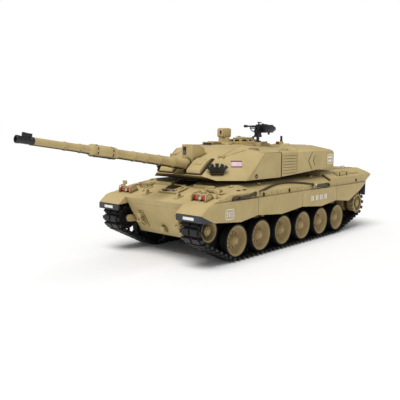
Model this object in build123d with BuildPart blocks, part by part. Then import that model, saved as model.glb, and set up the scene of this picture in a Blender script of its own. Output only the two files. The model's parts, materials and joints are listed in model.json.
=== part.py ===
from build123d import *
import os
from math import asin, atan2, cos, degrees, hypot, pi, radians, sin, tan

# A one-sixteenth scale radio controlled battle tank, in millimetres.
# X is across (+X is the tank's left), the gun points along -Y, +Z is up and the tracks
# stand on Z = 0. Lengths called "along" run back from the front edge of the hull.

os.makedirs("parts", exist_ok=True)

# ---- Overall layout ----
HULL_LENGTH = 517.0
REAR_END = 520.0
HULL_SIDE = 107.5
SKIRT_SIDE = 110.0
BELLY = 31.0
FLOOR = 78.5
ROOF = 110.0
DECK = 118.0
WALL = 2.0
TUB_SIDE = 62.0
RUNNING_GAP = 0.06

# ---- Gun ----
TRUNNION_ALONG = 118.0
TRUNNION_HEIGHT = 133.0
GUN_ELEVATION = 8.2
GUN_REACH = 319.0
MUZZLE_RADIUS = 4.5

# ---- Turret ----
RING_ALONG = 205.0
RING_RADIUS = 52.0
TURRET_SIDE = 98.0
TURRET_FLOOR = 116.5
TURRET_ROOF = 167.0

# ---- Running gear ----
TRACK_CENTRE = 86.0
ROAD_WHEELS = 6
FIRST_WHEEL_ALONG = 86.7
WHEEL_SPACING = 60.57
WHEEL_HEIGHT = 30.4
WHEEL_RADIUS = 25.25
AXLE_RADIUS = 2.0
ARM_REACH = 26.0
ARM_PIVOT_HEIGHT = 38.0
SPROCKET_ALONG = 469.0
SPROCKET_HEIGHT = 49.6
SPROCKET_TEETH = 12
SPROCKET_PITCH_RADIUS = 21.6
IDLER_HEIGHT = 53.0
IDLER_RADIUS = 18.0
ROLLER_RADIUS = 8.0
ROLLER_HEIGHT = 61.8
ROLLER_ALONG = (177.5, 359.3)

# ---- Track links ----
PAD_THICKNESS = 1.8
SHOE_TOP = 5.0
PITCH_LINE = 3.4
LINK_LENGTH = 10.3
LINK_PITCH = 2 * pi * SPROCKET_PITCH_RADIUS / SPROCKET_TEETH

MUZZLE_ALONG = TRUNNION_ALONG - GUN_REACH * cos(radians(GUN_ELEVATION))
MUZZLE_FRONT = MUZZLE_ALONG - MUZZLE_RADIUS * sin(radians(GUN_ELEVATION))
MIDDLE = (REAR_END + MUZZLE_FRONT) / 2


def along(distance):
    """Y of a place that lies this far behind the hull's front edge."""
    return distance - MIDDLE


def finish(part, name):
    """Label a finished piece and write it to its own file."""
    part.label = name
    export_step(part, "parts/" + name + ".step")


def prism(points, x_low, x_high, mode=Mode.ADD):
    """Extrude a side outline of (along, height) points from x_low to x_high."""
    with BuildSketch(Plane.YZ.offset(x_low)) as outline:
        with BuildLine():
            Polyline(*[(along(s), z) for s, z in points], close=True)
        make_face()
    extrude(outline.sketch, amount=x_high - x_low, mode=mode)


def paired_prism(points, x_low, x_high, mode=Mode.ADD):
    """The same prism on the left and on the right of the tank."""
    prism(points, x_low, x_high, mode)
    prism(points, -x_high, -x_low, mode)


def block(x, s, z, mode=Mode.ADD):
    """A box between the two values given on each axis."""
    with Locations(((x[0] + x[1]) / 2, along((s[0] + s[1]) / 2), (z[0] + z[1]) / 2)):
        Box(x[1] - x[0], s[1] - s[0], z[1] - z[0], mode=mode)


def paired_block(x, s, z, mode=Mode.ADD):
    block(x, s, z, mode)
    block((-x[1], -x[0]), s, z, mode)


def bar(x_low, x_high, s, z, radius, mode=Mode.ADD):
    """A round bar lying across the tank."""
    with Locations(Location(((x_low + x_high) / 2, along(s), z), (0, 90, 0))):
        Cylinder(radius, x_high - x_low, mode=mode)


def post(x, s, z_low, z_high, radius, mode=Mode.ADD):
    """An upright round post."""
    with Locations((x, along(s), (z_low + z_high) / 2)):
        Cylinder(radius, z_high - z_low, mode=mode)


def round_along(x, s_low, s_high, z, radius, mode=Mode.ADD):
    """A round bar lying fore and aft."""
    with Locations(Location((x, along((s_low + s_high) / 2), z), (90, 0, 0))):
        Cylinder(radius, s_high - s_low, mode=mode)


def wheel_profile(points, s, z, mode=Mode.ADD):
    """Turn an outline of (x, radius) points about a cross axle at (s, z)."""
    centre = Plane((0, along(s), z), x_dir=(1, 0, 0), z_dir=(0, -1, 0))
    with BuildSketch(centre) as outline:
        with BuildLine():
            Polyline(*points, close=True)
        make_face()
    revolve(outline.sketch, axis=Axis((0, along(s), z), (1, 0, 0)), mode=mode)


def mirrored(part):
    """The opposite-hand copy of a left piece."""
    return mirror(part, about=Plane.YZ)


# ---- The path of a track, as arcs round its four end wheels and straight runs between ----
WHEEL_WRAP = WHEEL_HEIGHT - PITCH_LINE
IDLER_WRAP = IDLER_RADIUS + SHOE_TOP - PITCH_LINE + 0.2
LAST_WHEEL_ALONG = FIRST_WHEEL_ALONG + (ROAD_WHEELS - 1) * WHEEL_SPACING


def track_path(idler_along):
    """Spans of the pitch line: (kind, start, heading, length, centre, radius)."""
    circles = [
        (SPROCKET_ALONG, SPROCKET_HEIGHT, SPROCKET_PITCH_RADIUS),
        (idler_along, IDLER_HEIGHT, IDLER_WRAP),
        (FIRST_WHEEL_ALONG, WHEEL_HEIGHT, WHEEL_WRAP),
        (LAST_WHEEL_ALONG, WHEEL_HEIGHT, WHEEL_WRAP),
    ]
    headings = []
    for here, there in zip(circles, circles[1:] + circles[:1]):
        ahead, up = there[0] - here[0], there[1] - here[1]
        spread = asin((there[2] - here[2]) / hypot(ahead, up))
        headings.append((atan2(up, ahead) - spread, hypot(ahead, up) * cos(spread)))
    spans = []
    for index, (s, z, radius) in enumerate(circles):
        heading_in = headings[index - 1][0]
        heading_out, run = headings[index]
        turn = (heading_out - heading_in) % (2 * pi)
        spans.append(("arc", (s, z), heading_in, turn * radius, radius))
        start = (s + radius * sin(heading_out), z - radius * cos(heading_out))
        spans.append(("run", start, heading_out, run, 0.0))
    return spans


def path_length(idler_along):
    return sum(span[3] for span in track_path(idler_along))


LINK_COUNT = int(path_length(27.0) / LINK_PITCH + 0.5)
near, far = 15.0, 40.0
for step in range(50):
    IDLER_ALONG = (near + far) / 2
    if path_length(IDLER_ALONG) > LINK_COUNT * LINK_PITCH:
        near = IDLER_ALONG
    else:
        far = IDLER_ALONG
TRACK_SPANS = track_path(IDLER_ALONG)
SPROCKET_START = TRACK_SPANS[0][2] - pi / 2


def track_place(distance):
    """The (along, height, heading) of the pitch line at a distance along it."""
    for kind, start, heading, length, radius in TRACK_SPANS:
        if distance <= length:
            break
        distance -= length
    if kind == "run":
        return start[0] + distance * cos(heading), start[1] + distance * sin(heading), heading
    turned = heading + distance / radius
    return start[0] + radius * sin(turned), start[1] - radius * cos(turned), turned


# ---- Track links: shoe, two rubber pads, end connectors and a guide horn ----
SHOE_HALF = 14.8
TRACK_HALF = 20.0
CONNECTOR_LENGTH = 5.2

with BuildPart() as link:
    shoe_middle = (PAD_THICKNESS + SHOE_TOP) / 2 - PITCH_LINE
    with Locations((0, 0, shoe_middle)):
        Box(2 * SHOE_HALF, LINK_LENGTH, SHOE_TOP - PAD_THICKNESS)
        Box(2 * TRACK_HALF, CONNECTOR_LENGTH, SHOE_TOP - PAD_THICKNESS)
    with Locations((-8, 0, PAD_THICKNESS / 2 - PITCH_LINE), (8, 0, PAD_THICKNESS / 2 - PITCH_LINE)):
        Box(12.5, 8.2, PAD_THICKNESS)
    with BuildSketch(Plane.XY.offset(SHOE_TOP - PITCH_LINE)):
        Rectangle(4.0, 5.0)
    extrude(amount=6.5, taper=9)

track_links = []
for number in range(LINK_COUNT):
    s, z, heading = track_place((number + 0.5) * LINK_PITCH)
    place = Location((TRACK_CENTRE, along(s), z), (degrees(heading), 0, 0))
    track_links.append(link.part.moved(place))
track_right = Compound(children=[item.moved(Location((-2 * TRACK_CENTRE, 0, 0)))
                                 for item in track_links])
finish(track_right, "track_right")
track_left = Compound(children=track_links)
finish(track_left, "track_left")

# ---- Drive sprockets ----
TOOTH_OUTLINE = ((15.5, 2.9), (17.5, 2.4), (19.7, 1.6))
TOOTH_RING = (15.8, 18.2)
DRIVE_SHAFT_RADIUS = 2.5

with BuildPart() as sprocket:
    wheel_profile([(TRACK_CENTRE - 15.8, 0), (TRACK_CENTRE - 15.8, 17), (TRACK_CENTRE - 4, 17),
                   (TRACK_CENTRE - 4, 8), (TRACK_CENTRE + 4, 8), (TRACK_CENTRE + 4, 17),
                   (TRACK_CENTRE + 15.8, 17), (TRACK_CENTRE + 15.8, 0)],
                  SPROCKET_ALONG, SPROCKET_HEIGHT)
    for side in (-1, 1):
        face = TRACK_CENTRE + side * (TOOTH_RING[0] + TOOTH_RING[1]) / 2 - 1.2
        with BuildSketch(Plane((face, along(SPROCKET_ALONG), SPROCKET_HEIGHT), x_dir=(0, 1, 0),
                               z_dir=(1, 0, 0))):
            Circle(17.0)
            with PolarLocations(0, SPROCKET_TEETH, start_angle=degrees(SPROCKET_START)):
                Polygon(*[(r, w) for r, w in TOOTH_OUTLINE],
                        *[(r, -w) for r, w in reversed(TOOTH_OUTLINE)], align=None)
        extrude(amount=2.4)
    # dished outer face with a ring of bolts and a raised hub cap
    bar(TRACK_CENTRE + 15.0, TRACK_CENTRE + 18.3, SPROCKET_ALONG, SPROCKET_HEIGHT, 14.5,
        mode=Mode.SUBTRACT)
    bar(TRACK_CENTRE + 14.9, TRACK_CENTRE + 18.0, SPROCKET_ALONG, SPROCKET_HEIGHT, 7.0)
    for turn in range(SPROCKET_TEETH):
        angle = radians(turn * 360 / SPROCKET_TEETH)
        bar(TRACK_CENTRE + 14.9, TRACK_CENTRE + 16.0, SPROCKET_ALONG + 11 * cos(angle),
            SPROCKET_HEIGHT + 11 * sin(angle), 1.0)
    bar(TUB_SIDE - 8, TRACK_CENTRE - 15.7, SPROCKET_ALONG, SPROCKET_HEIGHT, DRIVE_SHAFT_RADIUS)
finish(sprocket.part, "sprocket_left")
sprocket_right = mirrored(sprocket.part)
finish(sprocket_right, "sprocket_right")

# ---- Idler wheels: two discs on a hub, running on the pin of the track adjuster ----
DISC_INNER = 3.2
DISC_OUTER = 16.0


def double_wheel(rim, dish, hub, s, z):
    """Outline of a pair of discs joined by a hub, dished on the outer face."""
    x = TRACK_CENTRE
    wheel_profile([(x - DISC_OUTER, 0), (x - DISC_OUTER, rim), (x - DISC_INNER, rim),
                   (x - DISC_INNER, hub), (x + DISC_INNER, hub), (x + DISC_INNER, rim),
                   (x + DISC_OUTER, rim), (x + DISC_OUTER, dish), (x + DISC_OUTER - 4, dish - 2.5),
                   (x + DISC_OUTER - 5, 7.5), (x + DISC_OUTER - 0.5, 6.0), (x + DISC_OUTER, 4.5),
                   (x + DISC_OUTER, 0)], s, z)
    bar(x - DISC_OUTER - 0.1, x + DISC_OUTER - 4, s, z, AXLE_RADIUS + RUNNING_GAP, mode=Mode.SUBTRACT)


with BuildPart() as idler:
    double_wheel(IDLER_RADIUS, 15.6, 9.5, IDLER_ALONG, IDLER_HEIGHT)
finish(idler.part, "idler_left")
idler_right = mirrored(idler.part)
finish(idler_right, "idler_right")

# ---- Return rollers, inboard of the guide horns ----
with BuildPart() as roller:
    bar(TRACK_CENTRE - 15.5, TRACK_CENTRE - DISC_INNER, 0, ROLLER_HEIGHT, ROLLER_RADIUS)
    bar(TRACK_CENTRE - 15.6, TRACK_CENTRE - 5.0, 0, ROLLER_HEIGHT, 1.5 + RUNNING_GAP,
        mode=Mode.SUBTRACT)
for number, s in enumerate(ROLLER_ALONG, start=1):
    roller_left = roller.part.moved(Location((0, s, 0)))
    finish(roller_left, "return_roller_left_" + str(number))
    roller_right = mirrored(roller_left)
    finish(roller_right, "return_roller_right_" + str(number))

# ---- Road wheels and their swing arms ----
ARM_PLATE = (65.0, 69.0)
PIVOT_RADIUS = 2.5

with BuildPart() as road_wheel:
    double_wheel(WHEEL_RADIUS, 22.6, 8.0, FIRST_WHEEL_ALONG, WHEEL_HEIGHT)
    for turn in range(6):
        angle = radians(turn * 60)
        bar(TRACK_CENTRE + 10.5, TRACK_CENTRE + 12.2, FIRST_WHEEL_ALONG + 10.5 * cos(angle),
            WHEEL_HEIGHT + 10.5 * sin(angle), 1.1)

with BuildPart() as swing_arm:
    pivot = (along(FIRST_WHEEL_ALONG - ARM_REACH), ARM_PIVOT_HEIGHT)
    hub = (along(FIRST_WHEEL_ALONG), WHEEL_HEIGHT)
    with BuildSketch(Plane.YZ.offset(ARM_PLATE[0])):
        with Locations(((pivot[0] + hub[0]) / 2, (pivot[1] + hub[1]) / 2)):
            SlotCenterToCenter(hypot(hub[0] - pivot[0], hub[1] - pivot[1]), 9.0,
                               rotation=degrees(atan2(hub[1] - pivot[1], hub[0] - pivot[0])))
    extrude(amount=ARM_PLATE[1] - ARM_PLATE[0])
    bar(TUB_SIDE - 4, ARM_PLATE[0] + 0.1, FIRST_WHEEL_ALONG - ARM_REACH, ARM_PIVOT_HEIGHT,
        PIVOT_RADIUS)
    bar(ARM_PLATE[1] - 0.1, TRACK_CENTRE + DISC_OUTER - 5, FIRST_WHEEL_ALONG, WHEEL_HEIGHT,
        AXLE_RADIUS)

for number in range(1, ROAD_WHEELS + 1):
    shift = Location((0, (number - 1) * WHEEL_SPACING, 0))
    for piece, name in ((road_wheel.part, "road_wheel"), (swing_arm.part, "swing_arm")):
        left = piece.moved(shift)
        finish(left, name + "_left_" + str(number))
        right = mirrored(left)
        finish(right, name + "_right_" + str(number))

# ---- Lower hull: an open tub with a sloped nose and a raked tail ----
NOSE = ((14.0, 88.0), (46.0, BELLY))
NOSE_SLOPE = (NOSE[1][0] - NOSE[0][0]) / (NOSE[0][1] - NOSE[1][1])
TAIL = 505.0
TAIL_TUCK = 490.0
BAY_ALONG = (190.0, 330.0)
BAY_SIDE = 36.0
SWITCH_ALONG = 150.0
SCREW_RADIUS = 1.3


def nose_along(z):
    """How far back the sloped nose plate is at a height."""
    return NOSE[0][0] + (NOSE[0][1] - z) * NOSE_SLOPE


def bay_screws():
    for x in (-BAY_SIDE + 5, BAY_SIDE - 5):
        for s in (BAY_ALONG[0] + 5, BAY_ALONG[1] - 5):
            yield x, s


def hull_screw_places():
    for x in (-52.0, 52.0):
        for s in (64.0, 175.0, 345.0, 480.0):
            yield x, s


with BuildPart() as lower_hull:
    prism([(nose_along(FLOOR), FLOOR), (NOSE[1][0], BELLY), (TAIL_TUCK, BELLY), (TAIL, 50), (TAIL, FLOOR)],
          -TUB_SIDE, TUB_SIDE)
    prism([(nose_along(FLOOR) + 2.4, FLOOR + 1), (NOSE[1][0] + 1.3, BELLY + WALL),
           (TAIL_TUCK - 1, BELLY + WALL), (TAIL - WALL, 51), (TAIL - WALL, FLOOR + 1)],
          -TUB_SIDE + WALL, TUB_SIDE - WALL, mode=Mode.SUBTRACT)
    # battery bay opening with a ledge above it for the cover
    block((-BAY_SIDE, BAY_SIDE), BAY_ALONG, (BELLY + WALL, BELLY + 5))
    block((-BAY_SIDE + 9, BAY_SIDE - 9), (BAY_ALONG[0] + 9, BAY_ALONG[1] - 9), (BELLY - 1, BELLY + 6),
          mode=Mode.SUBTRACT)
    block((-BAY_SIDE + 2, BAY_SIDE - 2), (BAY_ALONG[0] + 2, BAY_ALONG[1] - 2), (BELLY - 1, BELLY + WALL),
          mode=Mode.SUBTRACT)
    # slot for the power switch
    block((-4, 4), (SWITCH_ALONG - 8, SWITCH_ALONG + 8), (BELLY - 1, BELLY + WALL + 1), mode=Mode.SUBTRACT)
    for x, s in bay_screws():
        post(x, s, BELLY, BELLY + 6, SCREW_RADIUS, mode=Mode.SUBTRACT)
    for x, s in hull_screw_places():
        post(x, s, BELLY + WALL, BELLY + 12, 3.4)
        post(x, s, BELLY - 1, BELLY + 10, SCREW_RADIUS, mode=Mode.SUBTRACT)
        post(x, s, BELLY - 1, BELLY + 1.2, 2.4, mode=Mode.SUBTRACT)
    for number in range(ROAD_WHEELS):
        s = FIRST_WHEEL_ALONG - ARM_REACH + number * WHEEL_SPACING
        bar(-TUB_SIDE - 2.4, TUB_SIDE + 2.4, s, ARM_PIVOT_HEIGHT, 5.2)
        bar(-TUB_SIDE + 5, TUB_SIDE - 5, s, ARM_PIVOT_HEIGHT, 5.3, mode=Mode.SUBTRACT)
        bar(-TUB_SIDE - 5, TUB_SIDE + 5, s, ARM_PIVOT_HEIGHT, PIVOT_RADIUS + RUNNING_GAP,
            mode=Mode.SUBTRACT)
    bar(-TUB_SIDE - 5, TUB_SIDE + 5, SPROCKET_ALONG, SPROCKET_HEIGHT,
        DRIVE_SHAFT_RADIUS + RUNNING_GAP, mode=Mode.SUBTRACT)
finish(lower_hull.part, "lower_hull")

with BuildPart() as battery_cover:
    block((-BAY_SIDE + 2.2, BAY_SIDE - 2.2), (BAY_ALONG[0] + 2.2, BAY_ALONG[1] - 2.2), (BELLY, BELLY + WALL))
    for x, s in bay_screws():
        post(x, s, BELLY - 1, BELLY + 6, SCREW_RADIUS, mode=Mode.SUBTRACT)
        post(x, s, BELLY - 1, BELLY + 1.2, 2.4, mode=Mode.SUBTRACT)
    for rib in range(9):
        s = (BAY_ALONG[0] + BAY_ALONG[1]) / 2 + (rib - 4) * 8
        block((-18, 18), (s - 1, s + 1), (BELLY - 0.1, BELLY + 0.8), mode=Mode.SUBTRACT)
finish(battery_cover.part, "battery_cover")

hull_screws = []
for x, s in list(bay_screws()) + list(hull_screw_places()):
    with BuildPart() as screw:
        post(x, s, BELLY + 0.3, BELLY + 1.2, 2.4)
        post(x, s, BELLY + 1.2, BELLY + 4.9, SCREW_RADIUS)
        block((x - 1.5, x + 1.5), (s - 0.3, s + 0.3), (BELLY + 0.2, BELLY + 0.7), mode=Mode.SUBTRACT)
        block((x - 0.3, x + 0.3), (s - 1.5, s + 1.5), (BELLY + 0.2, BELLY + 0.7), mode=Mode.SUBTRACT)
    hull_screws.append(screw.part)
finish(Compound(children=hull_screws), "hull_screws")

with BuildPart() as power_switch:
    block((-3.9, 3.9), (SWITCH_ALONG - 4.5, SWITCH_ALONG + 1.5), (BELLY + 0.4, BELLY + WALL))
    block((-3.4, 3.4), (SWITCH_ALONG - 3.0, SWITCH_ALONG), (BELLY + 1, BELLY + 5))
finish(power_switch.part, "power_switch")

# ---- What the tub holds ----
with BuildPart() as battery_pack:
    block((-24, 24), (BAY_ALONG[0] + 12, BAY_ALONG[1] - 12), (BELLY + 6, BELLY + 30))
    fillet(battery_pack.edges().filter_by(Axis.Y), 4)
finish(battery_pack.part, "battery_pack")

electronics_pieces = []
with BuildPart() as receiver_board:
    block((-40, 40), (95, 143), (60, 61.6))
    block((-30, -18), (104, 116), (61.6, 64))
    block((2, 20), (102, 124), (61.6, 63.4))
    for x in (-36, 36):
        for s in (99, 139):
            post(x, s, BELLY + WALL, 60.0, 2.6)
electronics_pieces.append(receiver_board.part)
with BuildPart() as speaker:
    post(0, 368, BELLY + WALL, BELLY + 8, 22)
    post(0, 368, BELLY + 8, BELLY + 16, 13)
electronics_pieces.append(speaker.part)
with BuildPart() as smoke_unit:
    block((-22, 22), (398, 415), (BELLY + WALL, 62))
    round_along(10, 415, 427, 54, 4)
electronics_pieces.append(smoke_unit.part)
finish(Compound(children=electronics_pieces), "electronics")

drive_pieces = []
for side in (-1, 1):
    with BuildPart() as gearbox:
        block(sorted((side * 48.0, side * 20.0)), (450, 488), (BELLY + WALL, 66))
        bar(side * 45 - 5, side * 45 + 5, 436, 52, 13)
        bar(side * 36 - 16, side * 36 + 16, 440, 52, 11)
    drive_pieces.append(gearbox.part)
with BuildPart() as traverse_motor:
    post(38, 205, 84, 107, 8)
    block((28, 48), (195, 215), (80.7, 84))
drive_pieces.append(traverse_motor.part)
finish(Compound(children=drive_pieces), "drive_units")

# ---- Upper hull: fenders, glacis, fighting deck and raised engine deck in one moulded shell ----
CHAMFER_LOW = 100.0
CHAMFER_TOP_X = 89.0
DECK_START = 352.0
DECK_END = 505.0
SPONSON_TAIL = 470.6
RING_WELL = RING_RADIUS + RUNNING_GAP
SPONSON_INNER = 60.0


def hull_section(side, low, chamfer_low, chamfer_x, top):
    """Half the cross-section of the upper hull, mirrored into a whole one."""
    right = [(side, low), (side, chamfer_low), (chamfer_x, top)]
    return right + [(-x, z) for x, z in reversed(right)]


def cross_prism(points, s_low, s_high, mode=Mode.ADD):
    """Extrude an outline of (x, height) points from s_low back to s_high."""
    with BuildSketch(Plane((0, along(s_low), 0), x_dir=(-1, 0, 0), z_dir=(0, 1, 0))) as outline:
        with BuildLine():
            Polyline(*[(-x, z) for x, z in points], close=True)
        make_face()
    extrude(outline.sketch, amount=s_high - s_low, mode=mode)


with BuildPart() as upper_hull:
    # fenders over the tracks
    fender = [(0, 77), NOSE[0], (100, ROOF), (345, ROOF), (DECK_START, DECK), (DECK_END, DECK),
              (HULL_LENGTH, ROOF), (HULL_LENGTH, 104), (SPONSON_TAIL, FLOOR), (24, FLOOR), (3, 76.6)]
    prism(fender, -HULL_SIDE, HULL_SIDE)
    prism([(-1, 70), (-1, 90), NOSE[0], (nose_along(FLOOR), FLOOR), (25, FLOOR), (25, 70)],
          -TUB_SIDE, TUB_SIDE, mode=Mode.SUBTRACT)
    prism([(SPONSON_TAIL, FLOOR), (HULL_LENGTH, 104), (HULL_LENGTH - 6, 96), (TAIL, FLOOR)],
          -TUB_SIDE, TUB_SIDE)
    # long chamfers down both sides, lower in front of the engine deck
    for s_low, s_high, section in (
            (-1, DECK_START, hull_section(HULL_SIDE, 70, CHAMFER_LOW, CHAMFER_TOP_X, ROOF)),
            (DECK_START, HULL_LENGTH + 1, hull_section(HULL_SIDE, 70, 106, 84, DECK))):
        corner = [(section[1][0] + 1, section[1][1]), section[1], section[2], (section[2][0], DECK + 2),
                  (section[1][0] + 1, DECK + 2)]
        cross_prism(corner, s_low, s_high, mode=Mode.SUBTRACT)
        cross_prism([(-x, z) for x, z in corner], s_low, s_high, mode=Mode.SUBTRACT)
    # hollow inside, open over the tub
    cavity_side = HULL_SIDE - WALL
    with BuildPart(mode=Mode.PRIVATE) as cavity:
        prism([(30, 70), (30, 89.4), (102, 107.6), (344, 107.6), (352, 115.6), (504, 115.6), (512, 109),
               (512, 104), (470, FLOOR + WALL), (470, 70)], -cavity_side, cavity_side)
        for s_low, s_high, low, x_top, top in ((0, DECK_START - 1, CHAMFER_LOW, CHAMFER_TOP_X, ROOF),
                                               (DECK_START - 1, HULL_LENGTH, 106, 84, DECK)):
            corner = [(HULL_SIDE, low - 2.8), (cavity_side, low - 2.8), (x_top - 2, top - 2.4),
                      (x_top - 2, DECK + 2), (HULL_SIDE, DECK + 2)]
            cross_prism(corner, s_low, s_high, mode=Mode.SUBTRACT)
            cross_prism([(-x, z) for x, z in corner], s_low, s_high, mode=Mode.SUBTRACT)
        paired_block((SPONSON_INNER, HULL_SIDE), (0, HULL_LENGTH), (60, FLOOR + WALL), mode=Mode.SUBTRACT)
    add(cavity.part, mode=Mode.SUBTRACT)
    # ring well for the turret, with three notches that its lugs pass through
    post(0, RING_ALONG, 100, 115, RING_WELL, mode=Mode.SUBTRACT)
    with Locations((0, along(RING_ALONG), 108)):
        with PolarLocations(RING_WELL + 1, 3, start_angle=30):
            Box(8, 12, 12, mode=Mode.SUBTRACT)
    # three engine covers of louvres, cut as shallow slots in the raised deck
    for x_low, x_high, s_low, count in ((-74, -44, 372, 11), (-36, 36, 372, 11), (44, 74, 372, 11),
                                        (-60, -8, 446, 8), (8, 60, 446, 8)):
        for slot in range(count):
            s = s_low + slot * 5.6
            block((x_low, x_high), (s, s + 2.6), (DECK - 0.9, DECK + 1), mode=Mode.SUBTRACT)
    # seams between the covers of the deck and along the side bands
    for s in (366, 438, 496):
        block((-82, 82), (s, s + 0.7), (DECK - 0.5, DECK + 1), mode=Mode.SUBTRACT)
    for s in (127, 180, 252, 316, 345):
        paired_block((HULL_SIDE - 0.5, HULL_SIDE + 1), (s, s + 0.7), (91.5, 99.5), mode=Mode.SUBTRACT)
    # ears that carry the driver's hatch, with a recess under the hatch
    HATCH_HINGE = (72.5, 105.0)
    GLACIS_TILT = (ROOF - NOSE[0][1]) / (100 - NOSE[0][0])
    for side in (-1, 1):
        prism([(70.4, 101), (70.4, 106), (71.4, 107), (74, 107), (78, 104)], *sorted((side * 8.3, side * 11)))
    bar(-12, 12, *HATCH_HINGE, 0.8 + RUNNING_GAP, mode=Mode.SUBTRACT)
    prism([(48, 95.8), (48, 99), (66, 103.6), (66, 100.4)], -14, 14, mode=Mode.SUBTRACT)
    # towing eyes on the raked tail plate
    for x in (-40, 40):
        prism([(500, 84), (500, 96), (514, 92), (514, 86)], x - 2.5, x + 2.5)
finish(upper_hull.part, "upper_hull")


def glacis_height(s):
    return NOSE[0][1] + (s - NOSE[0][0]) * GLACIS_TILT


with BuildPart() as driver_hatch:
    prism([(44, glacis_height(44) + 0.3), (44, glacis_height(44) + 2.8), (70, glacis_height(70) + 2.8),
           (70, glacis_height(70) + 0.3)], -20, 20)
    fillet(driver_hatch.edges().filter_by(lambda edge: abs(edge.center().X) > 19.9
                                          and edge.length < 3), 1.2)
    block((-7.9, 7.9), (69, 72), (glacis_height(70) + 1, glacis_height(70) + 2.8))
    bar(-7.9, 7.9, *HATCH_HINGE, 1.6)
    bar(-10.9, 10.9, *HATCH_HINGE, 0.8)
    for x in (-11, 0, 11):
        block((x - 3.6, x + 3.6), (47, 51), (glacis_height(49) + 1, glacis_height(49) + 5))
finish(driver_hatch.part, "driver_hatch")

# ---- Side skirts, hung outside the running gear ----
SKIRT_TOP = 90.8
SKIRT_SEAMS = (26.0, 127.0, 252.0, 370.0)
SKIRT_LOWS = (85.0, 191.0, 316.0, 420.0)

with BuildPart() as skirt:
    lower_edge = []
    for seam, low in zip(SKIRT_SEAMS, SKIRT_LOWS):
        lower_edge += [(seam, 65.0), (low, 59.5)]
    outline = [(0, 77), NOSE[0], (25, SKIRT_TOP), (493, SKIRT_TOP), (467, 76.5), (457.6, 73)]
    prism(outline + lower_edge[::-1], HULL_SIDE, SKIRT_SIDE)
    for seam in SKIRT_SEAMS[1:]:
        block((SKIRT_SIDE - 0.5, SKIRT_SIDE + 1), (seam, seam + 0.7), (60, SKIRT_TOP - 1),
              mode=Mode.SUBTRACT)
    for s in range(40, 480, 22):
        bar(SKIRT_SIDE - 0.1, SKIRT_SIDE + 0.5, s, SKIRT_TOP - 3, 0.9)
finish(skirt.part, "skirt_left")
skirt_right = mirrored(skirt.part)
finish(skirt_right, "skirt_right")

# ---- Rubber mudflaps: front strips with a side corner, and rear flaps ----
with BuildPart() as mudflap_front:
    block((TUB_SIDE + 0.5, SKIRT_SIDE), (0, 1.4), (67.3, 76.2))
    block((TUB_SIDE + 0.5, HULL_SIDE), (1.4, 2.8), (70, 76.5))
with BuildPart() as mudflap_corner:
    prism([(1.4, 76.3), (1.4, 67.2), (26, 65)], HULL_SIDE + 0.8, SKIRT_SIDE)
with BuildPart() as mudflap_rear:
    prism([(496, 64), (498.2, 64), (498.2, 93.6), (496, 92.4)], TUB_SIDE + 3, HULL_SIDE - 1)
flaps = [mudflap_front.part, mudflap_corner.part, mudflap_rear.part]
finish(Compound(children=flaps + [mirrored(flap) for flap in flaps]), "mudflaps")

# ---- Tow cables, clamped along the chamfer on each side ----
CABLE_RADIUS = 1.3
CABLE_ROUTE = ((109.3, 84, 94.2), (109.3, 110, 94.9), (109.9, 127, 99.8), (106.9, 147, 102.9),
               (100.6, 174, 105.7), (96.8, 205, 107.6), (98.6, 236, 106.6), (103.6, 262, 104.2),
               (109.9, 283, 101.0), (109.4, 303, 96.4), (109.3, 328, 95.2))
FERRULES = ((97.0, 94.55, 1.5), (315.5, 95.8, -2.7))
EYES = ((76.3, 94.0), (335.8, 95.2))


def cable_radii(points):
    """The largest arc that each corner's two runs leave room for."""
    radii = []
    for before, corner, after in zip(points, points[1:], points[2:]):
        first, second = Vector(*corner) - Vector(*before), Vector(*after) - Vector(*corner)
        turn = radians(first.get_angle(second))
        radii.append(0.45 * min(first.length, second.length) / tan(turn / 2))
    return radii


with BuildPart() as tow_cable:
    route = [(x, along(s), z) for x, s, z in CABLE_ROUTE]
    radii = cable_radii(route)
    print("tow cable radii", [round(radius) for radius in radii])
    with BuildLine() as cable_line:
        FilletPolyline(*route, radius=radii)
    with BuildSketch(Plane(route[0], z_dir=cable_line.line % 0)):
        Circle(CABLE_RADIUS)
    sweep(path=cable_line.line)
    # ferrules and the flat eyes that they are pressed onto
    for s, z, slope in FERRULES:
        with Locations(Location((CABLE_ROUTE[0][0], along(s), z), (90 + slope, 0, 0))):
            Cylinder(1.75, 24)
    for s, z in EYES:
        with BuildSketch(Plane.YZ.offset(HULL_SIDE + 0.5)) as eye:
            with Locations((along(s), z)):
                SlotOverall(18, 6.4)
                SlotOverall(14, 3.0, mode=Mode.SUBTRACT)
        extrude(eye.sketch, amount=2.4)
tow_cables = Compound(children=[tow_cable.part, mirrored(tow_cable.part)])
finish(tow_cables, "tow_cables")

# ---- Lamps ----
LAMP_X = (72.0, 79.5, 87.0)
LAMP_FACE = 30.0
LAMP_HEIGHT = 96.5
lenses = []
for x in LAMP_X:
    with BuildPart() as lens:
        round_along(x, LAMP_FACE, LAMP_FACE + 3, LAMP_HEIGHT, 3.4)
        fillet(lens.edges().sort_by(Axis.Y)[0], 1.2)
    lenses.append(lens.part)
for x in (80.5, 89.5):
    with BuildPart() as rear_lens:
        round_along(x, REAR_END - 1.4, REAR_END, 107, 2.6)
    lenses.append(rear_lens.part)
finish(Compound(children=lenses + [mirrored(lens) for lens in lenses]), "lamp_lenses")

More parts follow.
